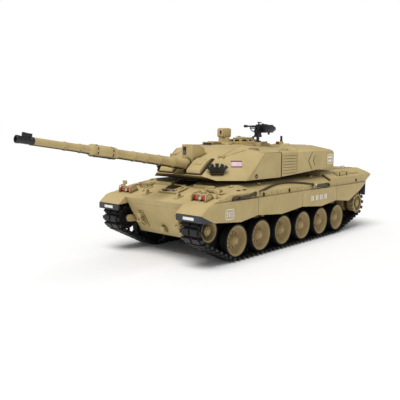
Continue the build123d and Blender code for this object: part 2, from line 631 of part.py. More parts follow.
# ---- Hull fittings ----
fittings = []
with BuildPart() as idler_bracket:
    prism([(nose_along(58) - 9, 58), (nose_along(58) + 12, 58), (nose_along(46) + 14, 46), (IDLER_ALONG - 4, 48)],
          TUB_SIDE, TUB_SIDE + 5)
    bar(TUB_SIDE, TUB_SIDE + 5, IDLER_ALONG, IDLER_HEIGHT, 5.5)
    bar(TUB_SIDE + 4.9, TRACK_CENTRE + DISC_OUTER - 5, IDLER_ALONG, IDLER_HEIGHT, AXLE_RADIUS)
fittings.append(idler_bracket.part)
for s in ROLLER_ALONG:
    with BuildPart() as roller_pin:
        bar(TUB_SIDE, TUB_SIDE + 6, s, ROLLER_HEIGHT, 4)
        bar(TUB_SIDE + 5.9, TRACK_CENTRE - 6, s, ROLLER_HEIGHT, 1.5)
    fittings.append(roller_pin.part)
with BuildPart() as lamp_housing:
    prism([(LAMP_FACE + 3, glacis_height(LAMP_FACE + 3)), (LAMP_FACE + 3, 100.5), (LAMP_FACE + 8, 100.5),
           (LAMP_FACE + 8, glacis_height(LAMP_FACE + 8))], 67.2, 92.2)
    for x in (66.0, 92.2):
        prism([(28, glacis_height(28)), (28, 98), (33, 102), (38, 102), (43, 98), (43, glacis_height(43))],
              x, x + 1.2)
fittings.append(lamp_housing.part)
with BuildPart() as rear_lamp_housing:
    block((76, 94), (HULL_LENGTH, REAR_END - 1.4), (104, 110))
fittings.append(rear_lamp_housing.part)
with BuildPart() as lifting_eye:
    s = 34.0
    prism([(s - 5, glacis_height(s - 5)), (s - 2, glacis_height(s) + 7), (s + 2, glacis_height(s) + 7),
           (s + 5, glacis_height(s + 5))], 32.6, 35.4)
    bar(30, 38, s, glacis_height(s) + 3.6, 1.9, mode=Mode.SUBTRACT)
    prism([(s - 7, glacis_height(s - 7)), (s - 7, glacis_height(s - 7) + 1), (s + 7, glacis_height(s + 7) + 1),
           (s + 7, glacis_height(s + 7))], 30, 38)
fittings.append(lifting_eye.part)
# towing hooks low on the nose plate
with BuildPart() as tow_hook:
    prism([(nose_along(64), 64), (nose_along(64) - 5, 64), (nose_along(58) - 8, 58), (nose_along(50) - 8, 50),
           (nose_along(46) - 4, 44), (nose_along(44), 44)], 38, 44)
    bar(36, 46, nose_along(54) - 4.6, 54, 2.3, mode=Mode.SUBTRACT)
    prism([(nose_along(67), 67), (nose_along(67) - 1.5, 67), (nose_along(41) - 1.5, 41), (nose_along(41), 41)],
          35, 47)
fittings.append(tow_hook.part)
# clamps that hold each tow cable against the side of the hull
for s, height in ((122.0, 98.3), (287.0, 100.0)):
    with BuildPart() as clamp:
        block((HULL_SIDE, 112.6), (s - 1.6, s + 1.6), (height - 4.5, height + 3.2))
        block((HULL_SIDE - 1, 111.6), (s - 2, s + 2), (height - 2.0, height + 2.1), mode=Mode.SUBTRACT)
    fittings.append(clamp.part)
# stub mirrors at the front corners
with BuildPart() as mirror_stub:
    post(99, 44, glacis_height(45), 106, 1.0)
    block((94.5, 103.5), (43, 45), (103, 109))
fittings.append(mirror_stub.part)
left_fittings = fittings
fittings = left_fittings + [mirrored(piece) for piece in left_fittings]
with BuildPart() as nose_pintle:
    prism([(nose_along(46), 46), (nose_along(46) - 6, 46), (nose_along(40) - 7, 38), (nose_along(36), 36)], -3.5, 3.5)
    post(0, nose_along(42) - 3.8, 30, 50, 1.4, mode=Mode.SUBTRACT)
fittings.append(nose_pintle.part)
finish(Compound(children=fittings), "hull_fittings")

# ---- Turret ----
TURRET_SIDE_VIEW = [(80, TURRET_FLOOR), (69, 123), (101, 148), (150, 163), (170, TURRET_ROOF), (368, 165),
                    (378, 156), (377, 125.8), (210, TURRET_FLOOR)]
ROOF_CREST_X = 45.0
ROOF_EDGE = 156.0
BIN_INNER = 91.0
BIN_START = 203.0
GUN_SLOT = 12.3
GUN_SLOT_END = 124.0
PINTLE = (52.0, 202.0)
GUN_PIVOT_HEIGHT = 189.5
CHEEK_POINT = (66.0, 80.0, 117.0)
CHEEK_NORMAL = (0.5443, -0.5443, 0.6384)


def roof_line(x):
    return TURRET_ROOF - (x - ROOF_CREST_X) * (TURRET_ROOF - ROOF_EDGE) / (TURRET_SIDE - ROOF_CREST_X)


def turret_block(inset):
    """The faceted turret, with every face moved inwards by the inset."""
    side_x = TURRET_SIDE - inset
    with BuildPart() as body:
        with BuildSketch(Plane.YZ) as side_view:
            with BuildLine():
                Polyline(*[(along(s), z) for s, z in TURRET_SIDE_VIEW], close=True)
            make_face()
            if inset:
                offset(amount=-inset, kind=Kind.INTERSECTION)
        extrude(amount=side_x, both=True)
        for side in (-1, 1):
            cheek = Plane((side * CHEEK_POINT[0], along(CHEEK_POINT[1]), CHEEK_POINT[2]),
                          z_dir=(side * CHEEK_NORMAL[0], CHEEK_NORMAL[1], CHEEK_NORMAL[2]))
            split(bisect_by=cheek.offset(-inset), keep=Keep.BOTTOM)
            corner = [(side * (TURRET_SIDE + 1), roof_line(TURRET_SIDE + 1) - inset),
                      (side * ROOF_CREST_X, TURRET_ROOF - inset), (side * ROOF_CREST_X, 180),
                      (side * (TURRET_SIDE + 1), 180)]
            cross_prism(corner, 60, 380, mode=Mode.SUBTRACT)
    return body.part


with BuildPart() as turret_shell:
    add(turret_block(0))
    # the sides step in behind the cheeks to take the stowage bins
    paired_block((BIN_INNER, TURRET_SIDE + 1), (BIN_START, 380), (100, 180), mode=Mode.SUBTRACT)
    with BuildPart(mode=Mode.PRIVATE) as turret_cavity:
        add(turret_block(2.5))
        block((-GUN_SLOT - 2.2, GUN_SLOT + 2.2), (60, GUN_SLOT_END + 2.2), (100, 180), mode=Mode.SUBTRACT)
        paired_block((BIN_INNER - 2.2, TURRET_SIDE + 1), (BIN_START - 2.2, 380), (100, 180),
                     mode=Mode.SUBTRACT)
        block((-100, 100), (60, 112), (100, 180), mode=Mode.SUBTRACT)
    add(turret_cavity.part, mode=Mode.SUBTRACT)
    block((-GUN_SLOT, GUN_SLOT), (60, GUN_SLOT_END), (122, 180), mode=Mode.SUBTRACT)
    bar(-GUN_SLOT - 2.2, GUN_SLOT + 2.2, TRUNNION_ALONG, TRUNNION_HEIGHT, 2 + RUNNING_GAP,
        mode=Mode.SUBTRACT)
    # raised commander's cupola on the right
    post(-30, 267, 160, 172, 27)
    with Locations((-30, along(267), 174)):
        Cone(25, 22.5, 4)
    post(-30, 267, 164.3, 180, 18, mode=Mode.SUBTRACT)
    post(-30, 267, 164.3, 166, 18)
    for turn in range(8):
        angle = radians(22.5 + turn * 45)
        with Locations(Location((-30 + 23.4 * cos(angle), along(267) + 23.4 * sin(angle), 172.5),
                                (0, 0, degrees(angle)))):
            Box(4, 8, 4.6)
    # loader's hatch ring on the left
    post(30, 229, 162, 169.5, 22)
    post(30, 229, 166, 175, 17, mode=Mode.SUBTRACT)
    # socket for the machine gun's pintle
    post(*PINTLE, 160, 172.0, 5.5)
    post(*PINTLE, 167, 173, 2.5 + RUNNING_GAP, mode=Mode.SUBTRACT)
    # hinge ears for both hatches
    for x, s, height in ((-30, 267 + 19.8, 177.6), (30, 229 + 18.8, 171.1)):
        for side in (-1, 1):
            block(sorted((x + side * 5.3, x + side * 8)), (s - 1.7, s + 1.7), (165, height + 1.6))
        bar(x - 9, x + 9, s, height, 0.9 + RUNNING_GAP, mode=Mode.SUBTRACT)
    # ventilator dome and aerial bases behind
    with Locations((42, along(300), 165.5)):
        Cone(12, 7, 6)
    post(20, 320, 160, 168.5, 4.6)
    post(-52, 330, 158, 167.5, 4.6)
    # centre hole for the wiring
    post(0, RING_ALONG, 110, 120, 20, mode=Mode.SUBTRACT)
finish(turret_shell.part, "turret_shell")

# ---- Turret base: the turntable, held down by three lugs that pass the notches in the deck ----
with BuildPart() as turret_base:
    post(0, RING_ALONG, ROOF + 0.4, TURRET_FLOOR, 62)
    post(0, RING_ALONG, 103, ROOF + 0.5, RING_RADIUS)
    post(0, RING_ALONG, 100, 120, 20, mode=Mode.SUBTRACT)
    post(0, RING_ALONG, 100, ROOF + 3, RING_RADIUS - 4, mode=Mode.SUBTRACT)
    with Locations((0, along(RING_ALONG), 105)):
        with PolarLocations(RING_RADIUS - 0.6, 3, start_angle=90):
            Box(7, 9, 4)
finish(turret_base.part, "turret_base")

# ---- Stowage bins on both sides of the turret ----
bins = []
for s_low, s_high in ((206.0, 252.0), (252.4, 377.0)):
    with BuildPart() as stowage_bin:
        under = [TURRET_FLOOR + max(s - 210, 0) * 0.0557 for s in (s_low, s_high)]
        prism([(s_low, under[0] + 0.6), (s_low, ROOF_EDGE + 2), (min(s_high, 369), ROOF_EDGE + 2),
               (s_high, ROOF_EDGE - 4), (s_high, under[1] + 0.6)], BIN_INNER, TURRET_SIDE)
        corner = [(TURRET_SIDE + 1, roof_line(TURRET_SIDE + 1)), (BIN_INNER - 1, roof_line(BIN_INNER - 1)),
                  (BIN_INNER - 1, 170), (TURRET_SIDE + 1, 170)]
        cross_prism(corner, s_low - 1, s_high + 1, mode=Mode.SUBTRACT)
        if s_low < 210:
            for slat in range(7):
                z = 121.5 + slat * 4.7
                block((TURRET_SIDE - 0.8, TURRET_SIDE + 1), (209, 247), (z, z + 0.9), mode=Mode.SUBTRACT)
                block((TURRET_SIDE - 0.1, TURRET_SIDE + 0.9), (249, 251.4), (z + 1.4, z + 3.4))
        else:
            for s, reach in ((287, 15.5), (303, 8.5)):
                tip = [(s, 139.5), (s + reach * 0.8, 139.5 + reach), (s + reach * 0.8 + 1.4, 139.5 + reach),
                       (s + 1.6, 139.5), (s + reach * 0.8 + 1.4, 139.5 - reach), (s + reach * 0.8, 139.5 - reach)]
                prism(tip, TURRET_SIDE - 0.5, TURRET_SIDE + 1, mode=Mode.SUBTRACT)
            block((TURRET_SIDE - 0.1, TURRET_SIDE + 0.5), (350, 374), (130, 151.5))
    bins.append(stowage_bin.part)
finish(Compound(children=bins + [mirrored(item) for item in bins]), "stowage_bins")

# ---- Smoke dischargers: a fan of five tubes on each cheek ----
LAUNCHER = (61.5, 87.7, 127.4)
launchers = []
with BuildPart() as launcher:
    cheek_up = Vector(*CHEEK_NORMAL)
    seat = Vector(LAUNCHER[0], along(LAUNCHER[1]), LAUNCHER[2]) + cheek_up * 0.02
    forward = Vector(1, 1, 0).normalized()
    facing = Plane(seat, x_dir=forward, z_dir=cheek_up)
    with BuildSketch(facing):
        RectangleRounded(20, 9, 2)
    extrude(amount=3)
    for turn in (-50, -25, 0, 25, 50):
        spread = radians(turn)
        out = facing.x_dir * sin(spread) + facing.y_dir * 0.75 * cos(spread) + facing.z_dir * 0.55
        with BuildSketch(Plane(seat + facing.z_dir * 2.5 + facing.x_dir * 7 * sin(spread), z_dir=out)):
            Circle(2.3)
        extrude(amount=9.5)
        with BuildSketch(Plane(seat + facing.z_dir * 2.5 + facing.x_dir * 7 * sin(spread) + out.normalized() * 6,
                               z_dir=out)):
            Circle(1.7)
        extrude(amount=6, mode=Mode.SUBTRACT)
launchers.append(launcher.part)
finish(Compound(children=launchers + [mirrored(item) for item in launchers]), "smoke_launchers")

# ---- Sights on the roof ----
with BuildPart() as gunner_sight:
    block((-46, -27), (174, 196), (TURRET_ROOF, TURRET_ROOF + 6))
    fillet(gunner_sight.edges().filter_by(Axis.Z), 1)
    block((-44.5, -28.5), (173, 180), (TURRET_ROOF + 1, TURRET_ROOF + 5), mode=Mode.SUBTRACT)
with BuildPart() as panoramic_sight:
    post(-30, 214, TURRET_ROOF, 170, 15)
    post(-30, 214, 170, 180, 11)
    block((-41, -19), (199, 229), (179, 195.5))
    fillet(panoramic_sight.edges().filter_by(Axis.Z).sort_by(Axis.Z)[-4:], 6)
    round_along(-30, 197, 202, 187, 6.0, mode=Mode.SUBTRACT)
roof_pieces = [gunner_sight.part, panoramic_sight.part]

# ---- Hatches ----
with BuildPart() as commander_hatch:
    post(-30, 267, 176.2, 178.6, 17.6)
    fillet(commander_hatch.edges().sort_by(Axis.Z)[-1], 1.5)
    block((-35, -25), (280, 286.8), (176.6, 178.2))
    bar(-34.9, -25.1, 286.8, 177.6, 1.5)
    bar(-37.9, -22.1, 286.8, 177.6, 0.9)
    post(-30, 258, 178.5, 180.5, 3)
finish(commander_hatch.part, "commander_hatch")

with BuildPart() as loader_hatch:
    post(30, 229, 169.8, 172.0, 16.6)
    fillet(loader_hatch.edges().sort_by(Axis.Z)[-1], 1.2)
    block((25, 35), (241, 247.8), (170.2, 172.0))
    bar(25.1, 34.9, 247.8, 171.1, 1.5)
    bar(22.1, 37.9, 247.8, 171.1, 0.9)
finish(loader_hatch.part, "loader_hatch")

# ---- Machine gun on its pintle, beside the loader's hatch ----
with BuildPart() as mg_pintle:
    post(*PINTLE, 167.3, 181, 2.5)
    post(*PINTLE, 172.3, 174.5, 5.0)
    block((PINTLE[0] - 4.5, PINTLE[0] + 4.5), (PINTLE[1] - 5, PINTLE[1] + 5), (180, 183.5))
    for x in (PINTLE[0] - 4.5, PINTLE[0] + 2.5):
        block((x, x + 2), (PINTLE[1] - 3.5, PINTLE[1] + 3.5), (183, 191.4))
    bar(PINTLE[0] - 6, PINTLE[0] + 6, PINTLE[1], GUN_PIVOT_HEIGHT, 1.2 + RUNNING_GAP, mode=Mode.SUBTRACT)
finish(mg_pintle.part, "mg_pintle")
with BuildPart() as machine_gun:
    gun_x, gun_s = PINTLE
    bar(gun_x - 4.4, gun_x + 4.4, gun_s, GUN_PIVOT_HEIGHT, 1.2)
    block((gun_x - 2.2, gun_x + 2.2), (gun_s - 8, gun_s + 22), (187, 193))
    block((gun_x - 2.4, gun_x + 2.4), (gun_s - 6, gun_s + 40), (192.3, 200))
    round_along(gun_x, gun_s - 34, gun_s - 5, 197.5, 1.5)
    round_along(gun_x, gun_s - 37, gun_s - 30, 197.5, 2.1)
    round_along(gun_x, gun_s - 22, gun_s - 5, 194.5, 1.0)
    block((gun_x + 2.3, gun_x + 13), (gun_s + 6, gun_s + 26), (187, 200))
    block((gun_x - 1, gun_x + 1), (gun_s + 2, gun_s + 10), (199.9, 205))
    block((gun_x - 2, gun_x + 2), (gun_s + 39.9, gun_s + 46), (190, 198))
    block((gun_x - 1, gun_x + 1), (gun_s + 30, gun_s + 33), (184, 192.4))
finish(machine_gun.part, "machine_gun")

# ---- Aerial bases ----
for x, s, low, high in ((20.0, 320.0, 168.5, 182.0), (-52.0, 330.0, 167.5, 181.0)):
    with BuildPart() as aerial:
        post(x, s, low, high, 1.9)
        post(x, s, low, low + 3, 3.2)
    roof_pieces.append(aerial.part)
finish(Compound(children=roof_pieces), "roof_fittings")

# ---- Mantlet with the thermal sight box above the barrel ----
with BuildPart() as mantlet:
    prism([(90.5, 129), (88, 147), (88, 168.6), (101, 168.6), (115, 163), (119.5, 150), (121.5, 138),
           (121.5, 129)], -GUN_SLOT + 0.8, GUN_SLOT - 0.8)
    block((-9.5, -2.0), (87, 89), (152, 165), mode=Mode.SUBTRACT)
    bar(-GUN_SLOT - 2, GUN_SLOT + 2, TRUNNION_ALONG, TRUNNION_HEIGHT, 2.0)
gun_axis = Vector(0, -cos(radians(GUN_ELEVATION)), sin(radians(GUN_ELEVATION)))
trunnion = Vector(0, along(TRUNNION_ALONG), TRUNNION_HEIGHT)
BARREL_ROOT = 16.0
with mantlet:
    with BuildSketch(Plane(trunnion + gun_axis * BARREL_ROOT, z_dir=gun_axis)):
        Circle(6.0 + RUNNING_GAP)
    extrude(amount=40, mode=Mode.SUBTRACT)
finish(mantlet.part, "mantlet")

BARREL_PROFILE = [(BARREL_ROOT, 0), (BARREL_ROOT, 6.0), (32.8, 6.0), (32.8, 9.3), (41, 9.3), (41, 8.6), (64, 8.2),
                  (64, 8.9), (67, 8.9), (67, 7.9), (92, 7.6), (92, 8.1), (94, 8.1), (94, 7.4), (118, 7.2),
                  (118, 7.7), (120, 7.7), (120, 7.0), (141, 6.9), (141, 7.4), (143, 7.4), (143, 6.8),
                  (172, 6.6), (174, 8.3), (215, 8.3), (217.5, 6.0), (230, 5.6), (230, 6.1), (232.5, 6.1),
                  (232.5, 5.4), (252.5, 5.3), (252.5, 5.8), (255, 5.8), (255, 5.1), (297, 5.0),
                  (297, 4.5), (GUN_REACH, MUZZLE_RADIUS), (GUN_REACH, 3.2), (GUN_REACH - 14, 3.2),
                  (GUN_REACH - 14, 0)]
with BuildPart() as gun_barrel:
    with BuildSketch(Plane(trunnion, x_dir=gun_axis, z_dir=(1, 0, 0))) as half:
        with BuildLine():
            Polyline(*BARREL_PROFILE, close=True)
        make_face()
    revolve(half.sketch, axis=Axis(trunnion, gun_axis))
    # muzzle reference sight
    with BuildSketch(Plane(trunnion + gun_axis * 299, x_dir=(1, 0, 0), z_dir=gun_axis)) as sight_end:
        with Locations((0, 6.2)):
            Rectangle(3.2, 5.4)
    extrude(sight_end.sketch, amount=12)
finish(gun_barrel.part, "gun_barrel")
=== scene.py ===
# %% [markdown]
# # A radio controlled battle tank
# The model is a one-sixteenth scale tank: a moulded hull and turret in desert paint, twelve
# rubber-tyred wheels, two link tracks and a long gun. The solid parts come in already placed,
# so this lesson softens their edges, adds the small fittings and gives every part its finish.

# %% Load the frame
import bpy
import json
from math import cos, pi, radians, sin
from mathutils import Matrix, Vector

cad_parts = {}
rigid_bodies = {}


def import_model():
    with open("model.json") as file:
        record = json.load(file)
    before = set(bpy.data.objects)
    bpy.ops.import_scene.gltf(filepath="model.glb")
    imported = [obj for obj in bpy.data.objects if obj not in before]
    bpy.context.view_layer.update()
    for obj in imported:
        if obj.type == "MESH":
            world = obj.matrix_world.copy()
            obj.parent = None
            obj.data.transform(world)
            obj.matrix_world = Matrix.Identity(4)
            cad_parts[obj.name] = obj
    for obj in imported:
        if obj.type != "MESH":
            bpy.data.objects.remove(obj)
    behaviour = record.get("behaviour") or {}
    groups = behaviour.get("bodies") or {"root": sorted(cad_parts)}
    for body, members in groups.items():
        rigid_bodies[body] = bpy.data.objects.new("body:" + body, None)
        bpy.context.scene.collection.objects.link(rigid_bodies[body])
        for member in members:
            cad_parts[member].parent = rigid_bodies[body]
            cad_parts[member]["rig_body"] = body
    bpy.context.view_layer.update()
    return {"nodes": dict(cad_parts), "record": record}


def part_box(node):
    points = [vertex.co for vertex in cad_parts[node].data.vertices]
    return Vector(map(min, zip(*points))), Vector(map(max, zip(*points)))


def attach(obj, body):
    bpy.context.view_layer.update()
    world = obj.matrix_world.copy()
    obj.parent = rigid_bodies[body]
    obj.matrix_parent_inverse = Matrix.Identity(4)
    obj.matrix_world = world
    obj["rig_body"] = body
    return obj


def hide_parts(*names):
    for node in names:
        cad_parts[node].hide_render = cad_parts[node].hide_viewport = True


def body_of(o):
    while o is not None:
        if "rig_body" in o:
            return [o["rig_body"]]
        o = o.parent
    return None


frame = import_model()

nodes = frame["nodes"]
slots = {part["node"]: part["material_slot"] for part in frame["record"]["subparts"]}
bodies = {node: body_of(piece)[0] for node, piece in nodes.items()}

# %% [markdown]
# Lengths on the tank are easiest to think of in millimetres: x across from the centre line,
# s back from the front edge of the hull, and z up from the ground. One small function turns
# such a place into Blender's metres, starting from the front edge of the side skirts.

# %% Places on the tank
MM = 0.001
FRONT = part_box("skirt_left")[0].y
LEFT, RIGHT = 1, -1


def at(x, s, z):
    """The place x across, s behind the hull's front edge and z up, all in millimetres."""
    return Vector((x * MM, FRONT + s * MM, z * MM))


def clear():
    """Select nothing, so that the next tool acts on new work alone."""
    bpy.ops.object.select_all(action="DESELECT")


clear()
print("front edge of the hull at", round(FRONT, 4))

# %% [markdown]
# The camera stands ahead of the tank's left front corner, a little above the tracks. A lens of
# about 47 mm from under a metre gives the long gun its strong perspective.

# %% Camera
camera_data = bpy.data.cameras.new("camera")
camera_data.lens = 46.55
camera_data.sensor_width = 36
camera = bpy.data.objects.new("camera", camera_data)
bpy.context.scene.collection.objects.link(camera)
camera.location = (0.5597, -0.6584, 0.1854)
sight_line = Vector((0, -0.0427, 0.07858)) - camera.location
camera.rotation_euler = (sight_line.to_track_quat("-Z", "Y").to_matrix().to_4x4()
                         @ Matrix.Rotation(radians(0.25), 4, "Z")).to_euler()
bpy.context.scene.camera = camera
print("camera at", tuple(round(value, 3) for value in camera.location))

# %% [markdown]
# The studio is a white floor in even white light, as in a catalogue. One very soft lamp stands
# high in front and lights floor and model alike, however far away, so it is a sun with a wide
# disc. The sky gives a weaker light from all round, and is itself plain white to look at.

# %% Floor and lights
SKY_LIGHT = 0.4
sun_data = bpy.data.lights.new("key", "SUN")
sun_data.energy = 2.15
sun_data.angle = radians(38)
sun = bpy.data.objects.new("key", sun_data)
sun.rotation_euler = Vector((-0.1, 0.42, -1)).to_track_quat("-Z", "Y").to_euler()
bpy.context.scene.collection.objects.link(sun)

world = bpy.data.worlds.new("studio")
bpy.context.scene.world = world
world.use_nodes = True
sky = world.node_tree
sky.nodes["Background"].inputs["Color"].default_value = (1, 1, 1, 1)
seen = sky.nodes.new("ShaderNodeLightPath")
strength = sky.nodes.new("ShaderNodeMapRange")
strength.inputs["To Min"].default_value = SKY_LIGHT
strength.inputs["To Max"].default_value = 1.0
sky.links.new(seen.outputs["Is Camera Ray"], strength.inputs["Value"])
sky.links.new(strength.outputs[0], sky.nodes["Background"].inputs["Strength"])
bpy.context.scene.view_settings.view_transform = "Standard"

bpy.ops.mesh.primitive_plane_add(size=30)
floor = bpy.context.object
floor.name = "floor"
clear()
print("sun, sky and floor")

# %% [markdown]
# Colours are written as the hex values that a paint chart gives. Blender mixes light in linear
# values, so one function converts them. A second adds a shader node with its settings and links.

# %% Colour and node helpers
def colour(text):
    """Turn an sRGB hex colour into the linear values that shaders use."""
    values = [int(text[i:i + 2], 16) / 255 for i in (1, 3, 5)]
    return [v / 12.92 if v <= 0.04045 else ((v + 0.055) / 1.055) ** 2.4 for v in values] + [1]


def add(tree, kind, settings=None, links=None):
    """Add one node, with its settings and the links into it."""
    made = tree.nodes.new(kind)
    for key, value in (settings or {}).items():
        if isinstance(key, str) and hasattr(made, key):
            setattr(made, key, value)
        else:
            made.inputs[key].default_value = value
    for socket, source in (links or {}).items():
        tree.links.new(source, made.inputs[socket])
    return made


print("sand paint in linear light", [round(value, 3) for value in colour("#B9A471")])


# %% [markdown]
# Painted, moulded and metal surfaces differ in tone, shine and grain, yet are built alike: a slow
# drift between two tones, painted shade where faces meet, and a fine grain that breaks up the
# shine. One function holds those nodes, and each finish below gives it real sizes in millimetres.

# %% One recipe for every finish
def finish_material(name, tones, roughness, mottle_mm, grain_mm, grain_depth_mm, metallic=0.0,
                    corner_shade=None, corner_shade_reach_mm=7, coat=0.0, specular=0.5, painted_underside_shade=None):
    """A finish whose tone drifts between two colours, with a fine grain, painted shade in its corners where
    corner_shade is given and, where painted_underside_shade is given, painted shade on faces that look down."""
    made = bpy.data.materials.new(name)
    made.use_nodes = True
    tree = made.node_tree
    tree.nodes.clear()
    out = add(tree, "ShaderNodeOutputMaterial")
    shader = add(tree, "ShaderNodeBsdfPrincipled",
                 {"Metallic": metallic, "Coat Weight": coat, "Specular IOR Level": specular})
    tree.links.new(shader.outputs[0], out.inputs["Surface"])
    place = add(tree, "ShaderNodeTexCoord")
    drift = add(tree, "ShaderNodeTexNoise", {"Scale": 1000 / mottle_mm, "Detail": 4.0, "Roughness": 0.6},
                {"Vector": place.outputs["Object"]})
    ramp = add(tree, "ShaderNodeValToRGB", {}, {0: drift.outputs["Fac"]})
    ramp.color_ramp.elements[0].position = 0.36
    ramp.color_ramp.elements[0].color = colour(tones[0])
    ramp.color_ramp.elements[1].position = 0.64
    ramp.color_ramp.elements[1].color = colour(tones[1])
    tone = ramp.outputs["Color"]
    # painted shade: ambient occlusion darkens the tone in corners and gaps, where shade falls
    if corner_shade:
        corner = add(tree, "ShaderNodeAmbientOcclusion", {"Distance": corner_shade_reach_mm * MM, "samples": 6})
        open_part = add(tree, "ShaderNodeMapRange", {1: 0.25, 2: 0.85}, {0: corner.outputs["AO"]})
        mixed = add(tree, "ShaderNodeMix", {"data_type": "RGBA", 6: colour(corner_shade)},
                    {0: open_part.outputs[0], 7: tone})
        tone = mixed.outputs[2]
    # painted shade: faces that look down are mixed towards a near-black tone
    if painted_underside_shade:
        facing = add(tree, "ShaderNodeNewGeometry")
        parted = add(tree, "ShaderNodeSeparateXYZ", {}, {0: facing.outputs["Normal"]})
        below = add(tree, "ShaderNodeMapRange", {1: -0.85, 2: -0.55}, {0: parted.outputs["Z"]})
        shaded_below = add(tree, "ShaderNodeMix", {"data_type": "RGBA", 6: colour(painted_underside_shade)},
                      {0: below.outputs[0], 7: tone})
        tone = shaded_below.outputs[2]
    tree.links.new(tone, shader.inputs["Base Color"])
    grain = add(tree, "ShaderNodeTexNoise", {"Scale": 1000 / grain_mm, "Detail": 3.0},
                {"Vector": place.outputs["Object"]})
    sheen = add(tree, "ShaderNodeMapRange", {3: roughness - 0.06, 4: roughness + 0.08},
                {0: grain.outputs["Fac"]})
    tree.links.new(sheen.outputs[0], shader.inputs["Roughness"])
    bump = add(tree, "ShaderNodeBump", {"Distance": grain_depth_mm * MM, "Strength": 0.6},
               {"Height": grain.outputs["Fac"]})
    tree.links.new(bump.outputs[0], shader.inputs["Normal"])
    return made


print("finish recipe ready")


# %% [markdown]
# The hull and turret are ABS moulded in one colour and sprayed with matt desert sand. Matt paint
# is a little uneven: the tone drifts over a few centimetres and a very fine tooth breaks up the
# shine. Thin brown painted shade lies in the panel lines, and faces that look down are painted
# near black as shade. The wheels have the same paint.

# %% Floor and painted plastic
# even white all over, so that only the shadow shows
floor_white = finish_material("white studio paper", ("#FFFFFF", "#FEFEFE"), 0.9, 400, 5, 0.0,
                              specular=0.0)
floor.data.materials.append(floor_white)
# warm matt sand, with painted shade that goes brown in corners and near black underneath
paint = finish_material("desert sand paint on ABS", ("#B9A471", "#C6B17E"), 0.62, 45, 0.9, 0.05,
                        corner_shade="#4A3A1C", specular=0.32, painted_underside_shade="#1F190E")
# the same paint a little darker, with deep shade in the dish of each wheel
wheel_paint = finish_material("desert sand paint on wheels", ("#A58F61", "#B19B6D"), 0.6, 22, 0.8, 0.05,
                              corner_shade="#2A200C", corner_shade_reach_mm=10, specular=0.3)
# dull brown black: painted shade that reads as depth in gaps and vents, and the colour of dark parts
dark_paint_and_shade = finish_material("dark paint and painted shade in recesses", ("#2A2316", "#352C1C"), 0.75, 12, 0.8, 0.05,
                         specular=0.25)
# brown painted shade, a soft thin line where plates meet
seam_shade = finish_material("shaded paint in seams", ("#6F5F3A", "#7A6942"), 0.7, 12, 0.8, 0.05,
                             specular=0.2)
print("paints mixed")

# %% [markdown]
# The tracks are black nylon, slightly shiny where the mould was polished. Tyres and mudflaps are
# softer rubber: dull, a touch grey, and with a fine powdery bloom.

# %% Black plastics, rubber and film
# deep black with a slight shine along the link edges
track_black = finish_material("black nylon", ("#0C0C0D", "#171717"), 0.5, 8, 0.7, 0.08, specular=0.45)
# flatter than the track, so the tyres stand apart from it
tyre_rubber = finish_material("black tyre rubber", ("#0E0E0F", "#171717"), 0.72, 14, 0.6, 0.06,
                              specular=0.35)
# cool grey and dull, the only grey on the hull
flap_rubber = finish_material("grey sheet rubber", ("#3A3D41", "#474A4E"), 0.7, 16, 0.7, 0.06,
                              specular=0.35)
# satin black that catches a line of light on round parts
gun_black = finish_material("satin black ABS", ("#151617", "#222324"), 0.42, 9, 0.5, 0.04,
                            specular=0.5)
# flat warm white with a faint gloss
decal_white = finish_material("white waterslide film", ("#E9E6DE", "#F3F1EA"), 0.5, 10, 0.6, 0.01,
                              specular=0.4)
print("blacks and film mixed")

# %% [markdown]
# Steel, zinc and die-cast parts are metals: all their colour comes from reflection, so the
# shader's metallic value is one and only tone and roughness tell them apart. Lenses are bright
# smooth plastic under a clear coat.

# %% Metals, electrics and lenses
# bright sparkle on screw heads
zinc = finish_material("zinc plated steel", ("#9FA1A0", "#BABBB8"), 0.34, 3, 0.3, 0.01, metallic=1.0)
# dark metal that glints dully behind the wheels
arm_metal = finish_material("blackened die-cast metal", ("#3B3A37", "#4A4844"), 0.5, 6, 0.4, 0.03,
                            metallic=1.0)
# rough mid grey casting
gear_case = finish_material("grey cast gearbox", ("#6A6B6A", "#7C7D7B"), 0.5, 8, 0.5, 0.05, metallic=1.0)
# glossy blue sleeve round the battery
battery_wrap = finish_material("blue shrink wrap", ("#1F4E86", "#2A5E99"), 0.35, 20, 1.5, 0.05, coat=0.3)
# green lacquer on the circuit boards
board_green = finish_material("green circuit board", ("#1E5A36", "#287045"), 0.4, 6, 0.8, 0.03, coat=0.4)


def lens_material(name, tone):
    """Clear moulded styrene with a colour in it, bright and smooth."""
    return finish_material(name, (tone, tone), 0.16, 3, 0.6, 0.01, coat=0.8, specular=0.6)


# pale and bright, red and deep, and a black mirror for the sights
clear_lens = lens_material("clear lamp lens", "#D9DAD4")
red_lens = lens_material("red lamp lens", "#D21F22")
dark_glass = lens_material("smoked sight glass", "#0C0E10")
print("metals and lenses mixed")

# %% [markdown]
# A tow cable is a steel rope of twisted strands, painted over and dirty. Slanting bands that run
# round the rope stand for the strands, one band every two millimetres or so. With that, every
# solid part can have the finish that its material slot calls for.

# %% Wire rope and finishes for the solid parts
def rope_material():
    """Painted steel rope, dull brown with a slanting twist that shades its strands."""
    made = finish_material("twisted steel rope", ("#4A4232", "#5C523E"), 0.55, 5, 0.4, 0.05,
                           metallic=0.35)
    tree = made.node_tree
    place = [n for n in tree.nodes if n.bl_idname == "ShaderNodeTexCoord"][0]
    bump = [n for n in tree.nodes if n.bl_idname == "ShaderNodeBump"][0]
    turn = add(tree, "ShaderNodeMapping", {"Rotation": (0.6, 0.0, 0.0)}, {0: place.outputs["Object"]})
    strands = add(tree, "ShaderNodeTexWave", {"Scale": 80.0, "bands_direction": "Y"},
                  {"Vector": turn.outputs[0]})
    bump.inputs["Distance"].default_value = 0.5 * MM
    tree.links.new(strands.outputs["Fac"], bump.inputs["Height"])
    return made


